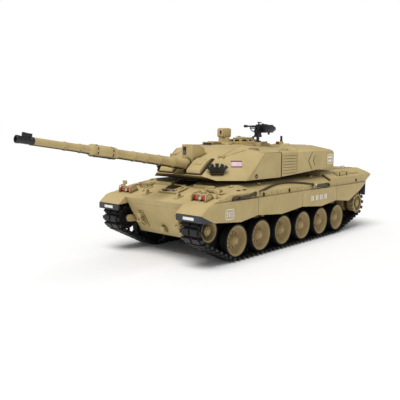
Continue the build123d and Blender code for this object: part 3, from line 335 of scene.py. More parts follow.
rope = rope_material()
SLOT_FINISH = {
    "hull_plastic": paint, "wheel_plastic": wheel_paint, "track_plastic": track_black,
    "flap_rubber": flap_rubber, "gun_black": gun_black, "lamp_lens": clear_lens, "cable": rope,
    "screw_steel": zinc, "arm_metal": arm_metal, "battery_wrap": battery_wrap, "board": board_green,
    "gearbox_case": gear_case}

for node, piece in nodes.items():
    piece.data.materials.clear()
    piece.data.materials.append(SLOT_FINISH[slots[node]])
print("finishes on", len(nodes), "solid parts")


# %% [markdown]
# No moulded part has a knife-sharp edge, and it is the thin line of light along a rounded edge
# that makes a model look solid. A Bevel modifier limited by angle rounds only the sharp ones.

# %% Rounding edges
def select(piece):
    """Select one piece alone and make it active."""
    clear()
    piece.select_set(True)
    bpy.context.view_layer.objects.active = piece


def soften(piece, width_mm):
    """Round the sharp edges with a Bevel modifier and smooth the shading between them."""
    select(piece)
    modifier = piece.modifiers.new("round", "BEVEL")
    modifier.width = width_mm * MM
    modifier.segments = 2
    modifier.limit_method = "ANGLE"
    modifier.angle_limit = radians(32)
    modifier.use_clamp_overlap = True
    bpy.ops.object.modifier_apply(modifier="round")
    bpy.ops.object.shade_smooth_by_angle(angle=radians(38))
    return piece


print("edge rounding ready")


# %% [markdown]
# Each solid part that shows is copied, its loose triangles are joined, flat areas are cleaned
# into single faces and every sharp edge gets its small round. The copy then stands for the solid
# part, which stays hidden behind it.

# %% Softened copies of the solid parts
def stand_in(node, width_mm):
    """A cleaned and softened copy of a solid part, which takes its place."""
    piece = nodes[node].copy()
    piece.data = nodes[node].data.copy()
    piece.name = node + "_finished"
    piece.parent = None
    bpy.context.scene.collection.objects.link(piece)
    select(piece)
    bpy.ops.object.mode_set(mode="EDIT")
    bpy.ops.mesh.select_all(action="SELECT")
    bpy.ops.mesh.remove_doubles(threshold=0.004 * MM)
    bpy.ops.mesh.dissolve_limited(angle_limit=radians(0.6))
    bpy.ops.object.mode_set(mode="OBJECT")
    if piece.data.has_custom_normals:
        bpy.ops.mesh.customdata_custom_splitnormals_clear()
    soften(piece, width_mm)
    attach(piece, bodies[node])
    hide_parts(node)
    return piece


EDGE_ROUND = {
    "upper_hull": 0.5, "lower_hull": 0.5, "skirt_left": 0.25, "skirt_right": 0.25,
    "driver_hatch": 0.3, "hull_fittings": 0.25, "turret_shell": 0.5, "stowage_bins": 0.35,
    "smoke_launchers": 0.2, "commander_hatch": 0.3, "loader_hatch": 0.3,
    "mg_pintle": 0.2, "mantlet": 0.5, "sprocket_left": 0.3, "sprocket_right": 0.3,
    "mudflaps": 0.2, "tow_cables": 0.15}
for node, width in EDGE_ROUND.items():
    stand_in(node, width)
smoke_block = bpy.data.objects["smoke_launchers_finished"]
smoke_block.data.materials.clear()
smoke_block.data.materials.append(dark_paint_and_shade)
print("softened", len(EDGE_ROUND), "parts")

# %% [markdown]
# The small pieces need only a few tools. A slab starts as a cube set to its size and a rod as a
# cylinder laid between two places. Each then has its place applied and its edges rounded.

# %% Slabs and rods
def set_down(piece, round_mm):
    """Apply the place of a new primitive to its mesh, then round its edges if asked."""
    bpy.ops.object.transform_apply(location=True, rotation=True, scale=True)
    return soften(piece, round_mm) if round_mm else piece


def face_outward(piece):
    """Turn all the faces of a closed piece outward."""
    select(piece)
    bpy.ops.object.mode_set(mode="EDIT")
    bpy.ops.mesh.select_all(action="SELECT")
    bpy.ops.mesh.normals_make_consistent(inside=False)
    bpy.ops.object.mode_set(mode="OBJECT")
    return piece


def slab(x, s, z, round_mm=0.3):
    """A block between two values on each axis, with rounded edges."""
    low, high = at(x[0], s[0], z[0]), at(x[1], s[1], z[1])
    bpy.ops.mesh.primitive_cube_add(size=1, location=(low + high) / 2, scale=high - low)
    return set_down(bpy.context.object, round_mm)


def rod(start, end, radius_mm, round_mm=0.2, sides=24):
    """A round bar from one place to another."""
    run = end - start
    bpy.ops.mesh.primitive_cylinder_add(vertices=sides, radius=radius_mm * MM, depth=run.length,
                                        location=(start + end) / 2,
                                        rotation=run.to_track_quat("Z", "Y").to_euler())
    return set_down(bpy.context.object, round_mm)


print("slab and rod ready")


# %% [markdown]
# Wheels, caps and barrels are round about an axle. The tool works as a lathe does: one point is
# extruded along half the outline, and the outline is spun all the way round.

# %% Turning
def turned(profile, origin, axis, round_mm=0.2, steps=48):
    """Spin a profile of (reach, radius) points, in millimetres, round an axis from an origin."""
    axis = axis.normalized()
    across = axis.orthogonal().normalized()
    places = [origin + axis * (reach * MM) + across * (radius * MM) for reach, radius in profile]
    bpy.ops.mesh.primitive_plane_add(size=0.01)
    piece = bpy.context.object
    bpy.ops.object.mode_set(mode="EDIT")
    bpy.ops.mesh.select_mode(type="VERT")
    bpy.ops.mesh.merge(type="CENTER")
    bpy.ops.transform.translate(value=places[0])
    for before, after in zip(places, places[1:]):
        bpy.ops.mesh.extrude_region_move(TRANSFORM_OT_translate={"value": after - before})
    bpy.ops.mesh.select_all(action="SELECT")
    bpy.ops.mesh.spin(steps=steps, angle=2 * pi, center=origin, axis=axis)
    bpy.ops.mesh.select_all(action="SELECT")
    bpy.ops.mesh.remove_doubles(threshold=0.005 * MM)
    bpy.ops.mesh.dissolve_degenerate(threshold=0.002 * MM)
    bpy.ops.mesh.normals_make_consistent(inside=False)
    bpy.ops.object.mode_set(mode="OBJECT")
    return soften(piece, round_mm) if round_mm else piece


print("lathe ready")


# %% [markdown]
# Armour blocks and brackets are cut from plate. A filled ring of corners is set to the outline
# and extruded to its thickness.

# %% Plates and prisms
def plate(corners, shift, round_mm):
    """A face through the given corners, extruded by a shift."""
    bpy.ops.mesh.primitive_circle_add(vertices=len(corners), radius=0.01, fill_type="NGON")
    piece = bpy.context.object
    for vertex, corner in zip(piece.data.vertices, corners):
        vertex.co = corner
    bpy.ops.object.mode_set(mode="EDIT")
    bpy.ops.mesh.select_all(action="SELECT")
    bpy.ops.mesh.extrude_region_move(TRANSFORM_OT_translate={"value": shift})
    bpy.ops.mesh.select_all(action="SELECT")
    bpy.ops.mesh.normals_make_consistent(inside=False)
    bpy.ops.object.mode_set(mode="OBJECT")
    return soften(piece, round_mm) if round_mm else piece


def prism(outline, x_low, x_high, round_mm=0.3):
    """A side outline of (s, z) points, filled and extruded across from x_low to x_high."""
    return plate([at(x_low, s, z) for s, z in outline], ((x_high - x_low) * MM, 0, 0), round_mm)


print("plate and prism ready")


# %% [markdown]
# Grab rails, guards and handles are wire bent by hand, so their line has no corners. A smooth
# curve with a round section gives that, and becomes a mesh straight away.

# %% Bent bars
def tube(points, radius_mm):
    """A bent bar or hose along a smooth line through places."""
    data = bpy.data.curves.new("bar", "CURVE")
    data.dimensions = "3D"
    data.bevel_depth = radius_mm * MM
    data.bevel_resolution = 3
    data.resolution_u = 8
    data.use_fill_caps = True
    spline = data.splines.new("NURBS")
    spline.points.add(len(points) - 1)
    for control, place in zip(spline.points, points):
        control.co = (*place, 1)
    spline.order_u = 3
    spline.use_endpoint_u = True
    piece = bpy.data.objects.new("bar", data)
    bpy.context.scene.collection.objects.link(piece)
    select(piece)
    bpy.ops.object.convert(target="MESH")
    piece = bpy.context.object
    bpy.ops.object.shade_smooth_by_angle(angle=radians(50))
    return piece


print("bent bars ready")


# %% [markdown]
# What repeats is made once and copied, and most fittings come in left and right hands. A finished
# piece is then named, painted and fastened to the body that it moves with.

# %% Copies, joins and dressing
def own_copy(piece):
    """A copy with its own mesh."""
    twin = piece.copy()
    twin.data = piece.data.copy()
    bpy.context.scene.collection.objects.link(twin)
    return twin


def moved_copy(piece, shift=(0, 0, 0), turn=0.0, about=(0, 0, 0), axis="X"):
    """A copy with its own mesh, turned about a place and then shifted."""
    twin = own_copy(piece)
    about = Vector(about)
    twin.data.transform(Matrix.Translation(Vector(shift) + about) @ Matrix.Rotation(turn, 4, axis)
                        @ Matrix.Translation(-about))
    return twin


def mirror_copy(piece):
    """The opposite-hand copy, with its faces turned the right way out again."""
    twin = own_copy(piece)
    twin.data.transform(Matrix.Scale(-1, 4, (1, 0, 0)))
    twin.data.flip_normals()
    return twin


def join(pieces):
    """Make one object of several."""
    clear()
    for piece in pieces:
        piece.select_set(True)
    bpy.context.view_layer.objects.active = pieces[0]
    if len(pieces) > 1:
        bpy.ops.object.join()
    return bpy.context.object


def dress(piece, name, finish, body, stands_for=()):
    """Name a finished piece, paint it and fasten it to the body that it moves with."""
    piece.name = name
    piece.data.materials.clear()
    piece.data.materials.append(finish)
    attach(piece, body)
    if stands_for:
        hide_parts(*stands_for)
    clear()
    return piece


def both_sides(piece):
    """A left-hand piece joined with its mirror image."""
    return join([piece, mirror_copy(piece)])


X_AXIS, Y_AXIS, Z_AXIS = Vector((1, 0, 0)), Vector((0, 1, 0)), Vector((0, 0, 1))
print("copying and dressing ready")

# %% [markdown]
# Each road wheel is a pair of discs with a solid rubber tyre on each. The inner disc is black with
# the tyres, as painted shade for the dark space behind the wheels, and the outer one is painted. It
# is dished, with a raised rim lip, a bolted flange and a domed hub cap. The lathe tool suits all of it but
# the bolts.

# %% One wheel
def wheel_set(centre, rim, hub_bolts, flange):
    """The disc pair, the tyres and the bolts of one left wheel: (painted piece, rubber piece)."""
    disc = turned([(12.0, 0), (12.0, 2.06), (3.3, 2.06), (3.3, rim - 2.6), (15.9, rim - 2.6),
                   (15.9, rim - 3.5), (14.9, rim - 4.1), (10.2, rim - 5.4), (8.0, rim - 7.2),
                   (6.9, rim - 9.2), (6.6, flange + 1.9), (7.5, flange + 1.4), (7.9, flange - 2.4),
                   (10.6, 7.4), (12.6, 6.8), (13.4, 5.9), (13.6, 4.6), (14.6, 4.0), (14.9, 2.8),
                   (14.9, 0)], centre, X_AXIS, 0.25)
    bolt = rod(centre + Vector((7.4, 0, flange - 0.8)) * MM, centre + Vector((9.2, 0, flange - 0.8)) * MM,
               1.15, 0.15, 6)
    bolts = [bolt] + [moved_copy(bolt, turn=2 * pi * i / hub_bolts, about=centre, axis="X")
                      for i in range(1, hub_bolts)]
    cap_bolt = rod(centre + Vector((13.0, 0, 5.1)) * MM, centre + Vector((14.2, 0, 5.1)) * MM, 0.6, 0.1, 6)
    bolts += [cap_bolt] + [moved_copy(cap_bolt, turn=2 * pi * i / 6, about=centre, axis="X")
                           for i in range(1, 6)]
    outer = turned([(3.2, rim - 2.62), (3.2, rim - 0.5), (3.8, rim), (15.3, rim), (16.0, rim - 0.7),
                    (16.0, rim - 2.3), (15.6, rim - 2.62), (3.2, rim - 2.62)], centre, X_AXIS, 0.2)
    inner = turned([(-16.0, rim - 2.62), (-16.0, rim - 0.6), (-15.3, rim), (-3.8, rim), (-3.2, rim - 0.5),
                    (-3.2, rim - 2.62), (-16.0, rim - 2.62)], centre, X_AXIS, 0.2)
    # the inner disc goes into the black rubber piece, as painted shade behind the wheels
    back = turned([(-15.7, 2.06), (-15.7, 5.0), (-12.4, 6.2), (-12.4, rim - 6.4), (-15.0, rim - 4.4),
                   (-15.8, rim - 3.2), (-15.8, rim - 2.6), (-3.5, rim - 2.6), (-3.5, 8.0), (3.2, 8.0),
                   (3.2, 2.06), (-15.7, 2.06)], centre, X_AXIS, 0.25)
    return join([disc] + bolts), join([outer, inner, back])


print("wheel pattern ready")

# %% [markdown]
# Six wheels stand evenly spaced along each side. One is made at the front left station, copied to
# the others and mirrored for the right.

# %% Road wheels
TRACK_CENTRE = 86.0
WHEEL_HEIGHT = 30.4
FIRST_WHEEL = 86.7
WHEEL_SPACING = 60.57
wheel, tyre = wheel_set(at(TRACK_CENTRE, FIRST_WHEEL, WHEEL_HEIGHT), 25.25, 10, 11.6)
for number in range(1, 7):
    shift = (0, (number - 1) * WHEEL_SPACING * MM, 0)
    for side in ("left", "right"):
        body = "road_wheel_" + side + "_" + str(number)
        pair = [moved_copy(wheel, shift), moved_copy(tyre, shift)]
        if side == "right":
            mirrored = [mirror_copy(part) for part in pair]
            for part in pair:
                bpy.data.objects.remove(part)
            pair = mirrored
        dress(pair[0], body + "_disc", wheel_paint, body, [body])
        dress(pair[1], body + "_tyre", tyre_rubber, body)
bpy.data.objects.remove(wheel)
bpy.data.objects.remove(tyre)
print("twelve road wheels")

# %% [markdown]
# The idler at the front keeps the track tight. It is built like a road wheel, only smaller.

# %% Idlers
IDLER = (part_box("idler_left")[0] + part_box("idler_left")[1]) / 2
wheel, tyre = wheel_set(IDLER, 18.0, 8, 8.4)
for side, parts in (("left", (wheel, tyre)), ("right", (mirror_copy(wheel), mirror_copy(tyre)))):
    body = "idler_" + side
    dress(parts[0], body + "_disc", wheel_paint, body, [body])
    dress(parts[1], body + "_tyre", tyre_rubber, body)
print("two idlers")

# %% [markdown]
# The gun points up a little, so its parts are placed along its own axis: so far from the
# trunnion, so far up and so far across.

# %% Gun axis
TRUNNION = at(0, 118, 133)
ELEVATION = radians(8.2)
GUN_AXIS = Vector((0, -cos(ELEVATION), sin(ELEVATION)))
GUN_UP = Vector((0, sin(ELEVATION), cos(ELEVATION)))


def on_gun(reach, up=0.0, across=0.0):
    """A place along the gun, in millimetres from the trunnion."""
    return TRUNNION + (GUN_AXIS * reach + GUN_UP * up + X_AXIS * across) * MM


print("muzzle height", round(on_gun(319).z, 4))

# %% [markdown]
# The gun barrel wears a padded thermal sleeve, drawn tight by bands, with a fat fume extractor
# two thirds of the way along. It tapers all the way, so a lathe profile suits it. Small clasps
# close the bands, and dark bars of painted shade mark the slots that ring both ends of the extractor.

# %% Gun barrel
barrel = turned([(16, 0), (16, 6.0), (32.8, 6.0), (32.8, 9.3), (41, 9.3), (41, 8.6), (64, 8.2), (64, 8.9),
                 (67, 8.9), (67, 7.9), (92, 7.6), (92, 8.1), (94, 8.1), (94, 7.4), (118, 7.2), (118, 7.7),
                 (120, 7.7), (120, 7.0), (141, 6.9), (141, 7.4), (143, 7.4), (143, 6.8), (171, 6.6),
                 (173, 7.6), (175, 8.3), (178.4, 8.3), (178.4, 7.7), (180, 7.7), (180, 8.3), (209, 8.3),
                 (209, 7.7), (210.6, 7.7), (210.6, 8.3), (214, 8.3), (216, 7.2), (217.5, 6.0), (230, 5.6),
                 (230, 6.1), (232.5, 6.1), (232.5, 5.4), (252.5, 5.3), (252.5, 5.8), (255, 5.8),
                 (255, 5.1), (296.8, 5.0), (296.8, 0)], TRUNNION, GUN_AXIS, 0.3)
clasps = []
for reach, radius in ((65.5, 8.9), (93, 8.1), (119, 7.7), (142, 7.4), (231.2, 6.1), (253.7, 5.8)):
    for across in (-1, 1):
        clasps.append(rod(on_gun(reach - 1.6, -radius * 0.5, across * radius * 0.87),
                          on_gun(reach + 1.6, -radius * 0.5, across * radius * 0.87), 0.9, 0.1, 8))
dress(join([barrel] + clasps), "gun_barrel_sleeve", paint, "gun", ["gun_barrel"])

# dark bars of painted shade in the slots at both ends of the extractor
slot_bars = []
for reach in (182.0, 207.0):
    for turn in range(8):
        ends = [2 * pi * (turn + 0.5 + part) / 8 for part in (-0.3, 0.0, 0.3)]
        slot_bars.append(tube([on_gun(reach, 7.9 * sin(angle), 7.9 * cos(angle)) for angle in ends], 1.0))
print("sleeve clasps", len(clasps), "and extractor slots", len(slot_bars))
dress(join(slot_bars), "fume_extractor_slot_shade", dark_paint_and_shade, "gun")

# %% [markdown]
# The muzzle end is bare and black, with a small mirror housing on top that stands level with the
# barrel.

# %% Muzzle and its mirror
muzzle = turned([(296.6, 3.2), (296.6, 4.7), (297.2, 5.2), (300.2, 5.2), (300.8, 4.5), (314.4, 4.5),
                 (315, 4.9), (318.4, 4.9), (319, 4.5), (319, 3.2), (305, 3.2), (304.8, 0)],
                TRUNNION, GUN_AXIS, 0.2)
mirror_parts = [face_outward(muzzle)]
for half_width, length, height, edge, foot in ((1.7, 11, 4.6, 0.4, on_gun(310, 4.2)),
                                               (2.1, 3, 5.2, 0.5, on_gun(311, 4.0))):
    part = slab((-half_width, half_width), (0, length), (0, height), edge)
    part.data.transform(Matrix.Translation(foot) @ Matrix.Rotation(-ELEVATION, 4, "X")
                        @ Matrix.Translation(-at(0, 0, 0)))
    mirror_parts.append(part)
dress(join(mirror_parts), "gun_muzzle", gun_black, "gun")
print("barrel reaches y", round(on_gun(319).y, 4))

# %% [markdown]
# Periscopes and sights are dark glass set in painted housings. On the model they are glossy black
# windows: a ring of twelve round the commander's cupola, one in each sight, and one in the box
# above the gun.

# %% Sight windows
CUPOLA_X, CUPOLA_S = -30, 267
panes = []
for turn in range(12):
    angle = radians(15 + turn * 30)
    pane = slab((24.0, 26.4), (-3.9, 3.9), (172.2, 175.4), 0.3)
    pane.data.transform(Matrix.Translation(at(CUPOLA_X, CUPOLA_S, 0)) @ Matrix.Rotation(angle, 4, "Z")
                        @ Matrix.Translation(-at(0, 0, 0)))
    panes.append(pane)
panes.append(slab((-36.4, -17.6), (166.4, 169), (163.6, 169.6), 0.4))
pane = turned([(0, 0), (0, 3.9), (0.6, 4.3), (2.0, 4.4), (2.0, 0)], at(0, 202.2, 187.6), Y_AXIS, 0.1)
pane.data.transform(Matrix.Translation(X_AXIS * (-28.5 * MM)) @ Matrix.Scale(0.62, 4, X_AXIS))
panes.append(pane)
dress(join(panes), "turret_windows", dark_glass, "turret")
dress(slab((-9.2, -2.3), (88.3, 89.2), (152.3, 164.7), 0.4), "gun_sight_window", dark_glass, "gun")
print("sight windows", len(panes) + 1)

# %% [markdown]
# The commander's panoramic sight is a tall head with well rounded corners on a turning base, and
# the gunner's sight is a low box with a brow over its window. Both are slabs with a wide bevel.

# %% Sights and aerial feet
sights = [
    turned([(0, 0), (0, 14.6), (1.6, 14.6), (2.6, 13.2), (3.4, 10.4), (12.4, 9.6), (13, 8.6), (13, 0)],
           at(-30, 214, 166.8), Z_AXIS, 0.3),
    slab((-38.5, -21.5), (203, 225), (178.6, 195.4), 3.4),
    slab((-34.5, -22.6), (202.3, 204), (181.2, 194), 0.6),
    slab((-39.4, -37.8), (206, 220), (181.5, 191), 0.5),
    slab((-38, -16), (168, 192), (160, 170.4), 0.9),
    slab((-38.6, -15.4), (165.6, 188), (169.8, 171.4), 0.5),
    slab((-38.4, -36.6), (166, 170), (160.6, 170.4), 0.3),
    slab((-17.4, -15.6), (166, 170), (160.6, 170.4), 0.3),
    slab((-34, -20), (174, 186), (171.2, 172.4), 0.4),
    turned([(0, 0), (0, 4.4), (2.4, 4.2), (3.2, 3.0), (3.4, 0)], at(20, 320, 168.3), Z_AXIS, 0.2, 24),
    turned([(0, 0), (0, 4.4), (2.4, 4.2), (3.2, 3.0), (3.4, 0)], at(-52, 330, 167.3), Z_AXIS, 0.2, 24),
]
print("sights and feet", len(sights))
dress(join(sights), "roof_sights", paint, "turret", ["roof_fittings"])

# %% [markdown]
# The turret front is welded from thick plates, and rolled strips cover the seams on the roof.
# Each strip is a low half-round bead, laid as a bent bar along the seam.

# %% Weld beads and roof strips
ROOF_CREST = 45.0
SLOPE = 11.0 / 53.0


def roof_z(x, s):
    """Height of the turret roof beside the crest line."""
    return min(167.0 - (abs(x) - ROOF_CREST) * SLOPE, 167.0)


beads = []
for side in (LEFT, RIGHT):
    beads.append(tube([at(side * x, s, z + 0.1) for x, s, z in
                       ((46, 172, 166.8), (50, 210, 166), (56, 262, 164.7), (60, 300, 163.9),
                        (62, 366, 162.2))], 0.55))
    beads.append(tube([at(side * x, s, roof_z(x, s) + 0.1) for x, s in
                       ((60, 300), (72, 292), (84, 278), (90.5, 258))], 0.5))
beads.append(tube([at(x, 366, 165.1) for x in (-45, -20, 20, 45)], 0.5))
for side in (LEFT, RIGHT):
    beads.append(tube([at(side * x, s, z) for x, s, z in
                       ((50.5, 103, 148.6), (49, 125, 155.2), (47.5, 150, 162.9), (46, 171, 167),
                        (48, 204, 166.6))], 1.15))
    beads.append(slab(sorted((side * 46, side * 58)), (107, 114), (149.0, 152.6), 0.5))
dress(join(beads), "roof_weld_beads", paint, "turret")
# a shaded line along the top and side edges of the cheeks
seams = []
for side in (LEFT, RIGHT):
    edge = [(51.5, 102, 148.2), (74, 139.5, 160.0), (97.6, 158.2, 156.2), (97.9, 203, 156.1)]
    for before, after in zip(edge, edge[1:]):
        seams.append(rod(at(side * before[0], *before[1:]), at(side * after[0], *after[1:]), 0.34, 0, 8))
    seams.append(rod(at(side * 97.9, 158.2, 156.0), at(side * 97.9, 119.6, 117.3), 0.22, 0, 8))
dress(join(seams), "turret_seam_shade", seam_shade, "turret")
print("weld beads and seams laid")

# %% [markdown]
# Small hardware makes a tank look busy: grab rails, lifting eyes, a ring fitting, a row of bolts
# on each hatch ring and dial covers on the roof. Bent rails are bars along a smooth line with
# their feet on the plate; the rest are turned or cut from slabs.

# %% Turret hardware
hardware, dark_marks = [], []
for side in (LEFT, RIGHT):
    # oval lifting loop on the sloping roof, and a ring fitting low on the cheek
    loop = [(70, 152, 161.3), (70, 153, 163.8), (74, 162, 163.6), (77, 169, 162.8), (77.5, 171, 159.9)]
    hardware.append(tube([at(side * x, s, z) for x, s, z in loop], 0.9))
    pad = turned([(0, 0), (0, 6.2), (0.6, 6.6), (1.3, 6.0), (1.3, 0)], at(side * 74, 165, 160.6), Z_AXIS, 0.2)
    hardware.append(pad)
    dark_marks.append(turned([(-0.2, 1.4), (-0.2, 3.4), (0.3, 3.4), (0.5, 2.6), (0.3, 1.4), (-0.2, 1.4)],
                             at(side * 97.9, 137, 121.5), side * X_AXIS, 0.1, 24))
    # rail along the top of the bins
    rail = [(86, 214, 158.4), (86, 214, 161.4), (86, 240, 161.4), (86, 240, 158.4)]
    hardware.append(tube([at(side * x, s, z) for x, s, z in rail], 0.6))
    # hinge knuckles down the louvred bin, and its latch
    for knuckle in range(4):
        z = 124 + knuckle * 8.6
        hardware.append(rod(at(side * 97.6, 250.6, z), at(side * 97.6, 250.6, z + 2.6), 1.0, 0.15, 12))
    hardware.append(slab(sorted((side * 97.8, side * 98.6)), (208.6, 211.6), (135, 141), 0.2))
# bolts round the cupola ring and the loader's ring
bolt = rod(at(CUPOLA_X, CUPOLA_S - 26.3, 168.6), at(CUPOLA_X, CUPOLA_S - 27.5, 168.6), 0.8, 0.15, 6)
for turn in range(16):
    hardware.append(moved_copy(bolt, turn=2 * pi * turn / 16, about=at(CUPOLA_X, CUPOLA_S, 168.6), axis="Z"))
bpy.data.objects.remove(bolt)
bolt = rod(at(30, 229 - 19.4, 169.4), at(30, 229 - 19.4, 170.2), 0.8, 0.15, 6)
for turn in range(12):
    if turn not in (5, 6, 7):
        hardware.append(moved_copy(bolt, turn=2 * pi * turn / 12, about=at(30, 229, 169), axis="Z"))
bpy.data.objects.remove(bolt)
# cover plates and caps on the roof
for x, s, radius in ((0, 300, 7), (-20, 330, 4.5), (6, 262, 3.6), (58, 250, 3.2), (0, 186, 5)):
    hardware.append(turned([(-0.5, 0), (-0.5, radius), (0.9, radius), (1.5, radius - 0.9), (1.5, 1.6),
                            (2.3, 1.2), (2.3, 0)], at(x, s, roof_z(x, s) - 0.6), Z_AXIS, 0.2))
hardware.append(slab((-12, 12), (340, 358), (164.6, 166.6), 0.4))
hardware.append(slab((-9, -3), (343, 355), (166.4, 167.2), 0.2))
hardware.append(slab((3, 9), (343, 355), (166.4, 167.2), 0.2))
print("turret hardware", len(hardware), "bits")
dress(join(hardware), "turret_hardware", paint, "turret")

# %% [markdown]
# Two more kinds of detail give the turret its depth. Blocks of armour stand on the front plate over a
# gap painted dark as shade, and dark bars mark the vents, hinges and chevrons on the side bins.

# %% Armour blocks and painted shade in recesses
# blocks of armour on the front plate, each side of the gun, with a deep gap round them painted dark as shade
front_blocks, block_gaps = [], []
for side in (LEFT, RIGHT):
    front_blocks.append(prism([(71.5, 124.6), (97.5, 145.1), (95.2, 148.4), (86, 144.6), (70.4, 131.4),
                               (69.4, 127.2)], *sorted((side * 15.5, side * 43)), 0.6))
    front_blocks.append(prism([(81, 137.2), (91, 144.8), (89.8, 147.6), (79.2, 139.8)],
                              *sorted((side * 22, side * 37)), 0.4))
    block_gaps.append(prism([(70.2, 123.9), (99.6, 147.1), (99.0, 147.9), (69.6, 124.7)],
                            *sorted((side * 12.6, side * 46.5)), 0))
dress(join(front_blocks), "turret_front_blocks", paint, "turret")
dress(join(block_gaps), "turret_front_gap_shade", dark_paint_and_shade, "turret")

# a row of vents on the louvred bin and the deep gap ahead of it are dark bars of painted shade
for side in (LEFT, RIGHT):
    dark_marks.append(slab(sorted((side * 91.2, side * 97.7)), (203.05, 205.95), (118.4, 155), 0.1))
    for slat in range(7):
        z = 122.6 + slat * 4.7
        dark_marks.append(slab(sorted((side * 97.2, side * 98.5)), (249.2, 251.0), (z, z + 2.0), 0.1))
    for s, reach in ((287, 15.5), (303, 8.5)):
        for up in (-1, 1):
            end = s + reach * 0.8
            dark_marks.append(prism([(s - 0.1, 139.5), (s + 1.7, 139.5), (end + 1.6, 139.5 + up * reach),
                                     (end - 0.2, 139.5 + up * reach)],
                                    *sorted((side * 97.3, side * 98.06)), 0))
print("dark marks", len(dark_marks))
dress(join(dark_marks), "turret_dark_marks_and_shade", dark_paint_and_shade, "turret")

# %% [markdown]
# The smoke dischargers are five dark metal cups in a fan on each cheek. Their mouths are open, so
# a cup is turned with a wall and a floor, and copied round the fan.

# %% Smoke discharger cups
CHEEK = Vector((0.5443, -0.5443, 0.6384)).normalized()
seat = at(61.5, 87.7, 127.4)
forward = Vector((1, 1, 0)).normalized()
up_plate = CHEEK.cross(forward).normalized()
cups = []
for turn in (-50, -25, 0, 25, 50):
    spread = radians(turn)
    out = (forward * sin(spread) + up_plate * 0.75 * cos(spread) + CHEEK * 0.55).normalized()
    root = seat + CHEEK * (2.2 * MM) + forward * (7 * sin(spread) * MM)
    cups.append(turned([(0.5, 0), (0.5, 2.4), (5.6, 2.5), (5.8, 3.0), (6.8, 3.0), (7.0, 2.6), (13.0, 2.7),
                        (13.0, 2.0), (8.0, 1.9), (8.0, 0)], root, out, 0.12, 20))
print("smoke cups on each cheek", len(cups))
dress(both_sides(join(cups)), "smoke_cups", gun_black, "turret")

# %% [markdown]
# The machine gun is the one black piece high on the roof. It is built as the real one is: a
# cooling jacket and barrel, a receiver in a cradle, an ammunition box, sights and hand grips.

# %% Machine gun
gun_x, gun_s = 52.0, 202.0
# receiver and its cover, cradle, butt, trunnion pin and jacketed barrel, then the rod under the
# barrel with its post and bent foot
gun_parts = [
    slab((gun_x - 2.8, gun_x + 2.8), (gun_s - 5, gun_s + 31), (192.6, 199.6), 0.5),
    slab((gun_x - 2.3, gun_x + 2.3), (gun_s - 3, gun_s + 24), (199.2, 200.8), 0.4),
    slab((gun_x - 2.2, gun_x + 2.2), (gun_s - 8, gun_s + 22), (187.2, 192.8), 0.5),
    prism([(gun_s + 30, 192.6), (gun_s + 30, 199.4), (gun_s + 39, 200.0), (gun_s + 45, 197.6),
           (gun_s + 46, 193.4), (gun_s + 40, 189.6)], gun_x - 2.6, gun_x + 2.6, 0.5),
    rod(at(gun_x - 4.4, gun_s, 189.5), at(gun_x + 4.4, gun_s, 189.5), 1.2),
    turned([(2, 0), (2, 1.9), (9, 1.9), (9.4, 1.5), (12, 1.5), (12.3, 1.75), (16, 1.75), (16.3, 1.35),
            (29.6, 1.2), (29.8, 2.0), (35, 2.15), (36.6, 1.8), (36.6, 0.9), (34, 0.8), (34, 0)],
           at(gun_x, gun_s, 197.5), -Y_AXIS, 0.1, 24),
    rod(at(gun_x, gun_s - 4, 194.3), at(gun_x, gun_s - 21.6, 194.6), 0.9, 0.2, 16),
    rod(at(gun_x, gun_s - 21, 194.2), at(gun_x, gun_s - 20.2, 198.2), 0.8, 0.1, 12),
    tube([at(gun_x, gun_s + s, z) for s, z in ((-21, 194.4), (-19, 191.4), (-12, 189.0), (-6, 188.6))], 0.8),
    # ammunition box with its lid and side plate, sight post and bar, trigger, handle and knob
    slab((gun_x + 2.6, gun_x + 12.6), (gun_s + 5, gun_s + 27), (187.4, 199.4), 0.7),
    slab((gun_x + 2.9, gun_x + 12.2), (gun_s + 5.6, gun_s + 26.4), (199.2, 200.4), 0.4),
    slab((gun_x + 12.2, gun_x + 13.0), (gun_s + 9, gun_s + 23), (189.2, 197.4), 0.3),
    slab((gun_x - 1.0, gun_x + 1.0), (gun_s + 1, gun_s + 3.2), (200, 205), 0.3),
    slab((gun_x - 1.2, gun_x + 1.2), (gun_s - 1, gun_s + 8.4), (203.6, 205.0), 0.3),
    slab((gun_x - 1.0, gun_x + 1.0), (gun_s + 29, gun_s + 33), (184.2, 193), 0.4),
    tube([at(gun_x - 2.6, gun_s + s, z) for s, z in ((10, 198), (10, 201.4), (16, 202.4), (22, 201.4),
                                                      (22, 198))], 0.6),
    rod(at(gun_x - 5.4, gun_s + 16, 196.6), at(gun_x - 2.6, gun_s + 16, 196.6), 0.8, 0.1, 12),
]
# hand grips at the back, and the belt that runs in from the box
for across in (-2.0, 2.0):
    gun_parts.append(tube([at(gun_x + across, gun_s + s, z) for s, z in
                           ((38, 197), (46.4, 197.4), (47.6, 194.6), (46.8, 190.6), (42, 190.8))], 0.8))
belt = slab((gun_x + 1.6, gun_x + 3.8), (gun_s + 9.0, gun_s + 10.6), (199.4, 201.6), 0.2)
gun_parts += [belt] + [moved_copy(belt, (0, i * 2.2 * MM, 0)) for i in range(1, 6)]
dress(join(gun_parts), "machine_gun_detail", gun_black, "machine_gun", ["machine_gun"])

# %% [markdown]
# The aerial stubs are black rubber on painted feet, and one has a red sealing collar.

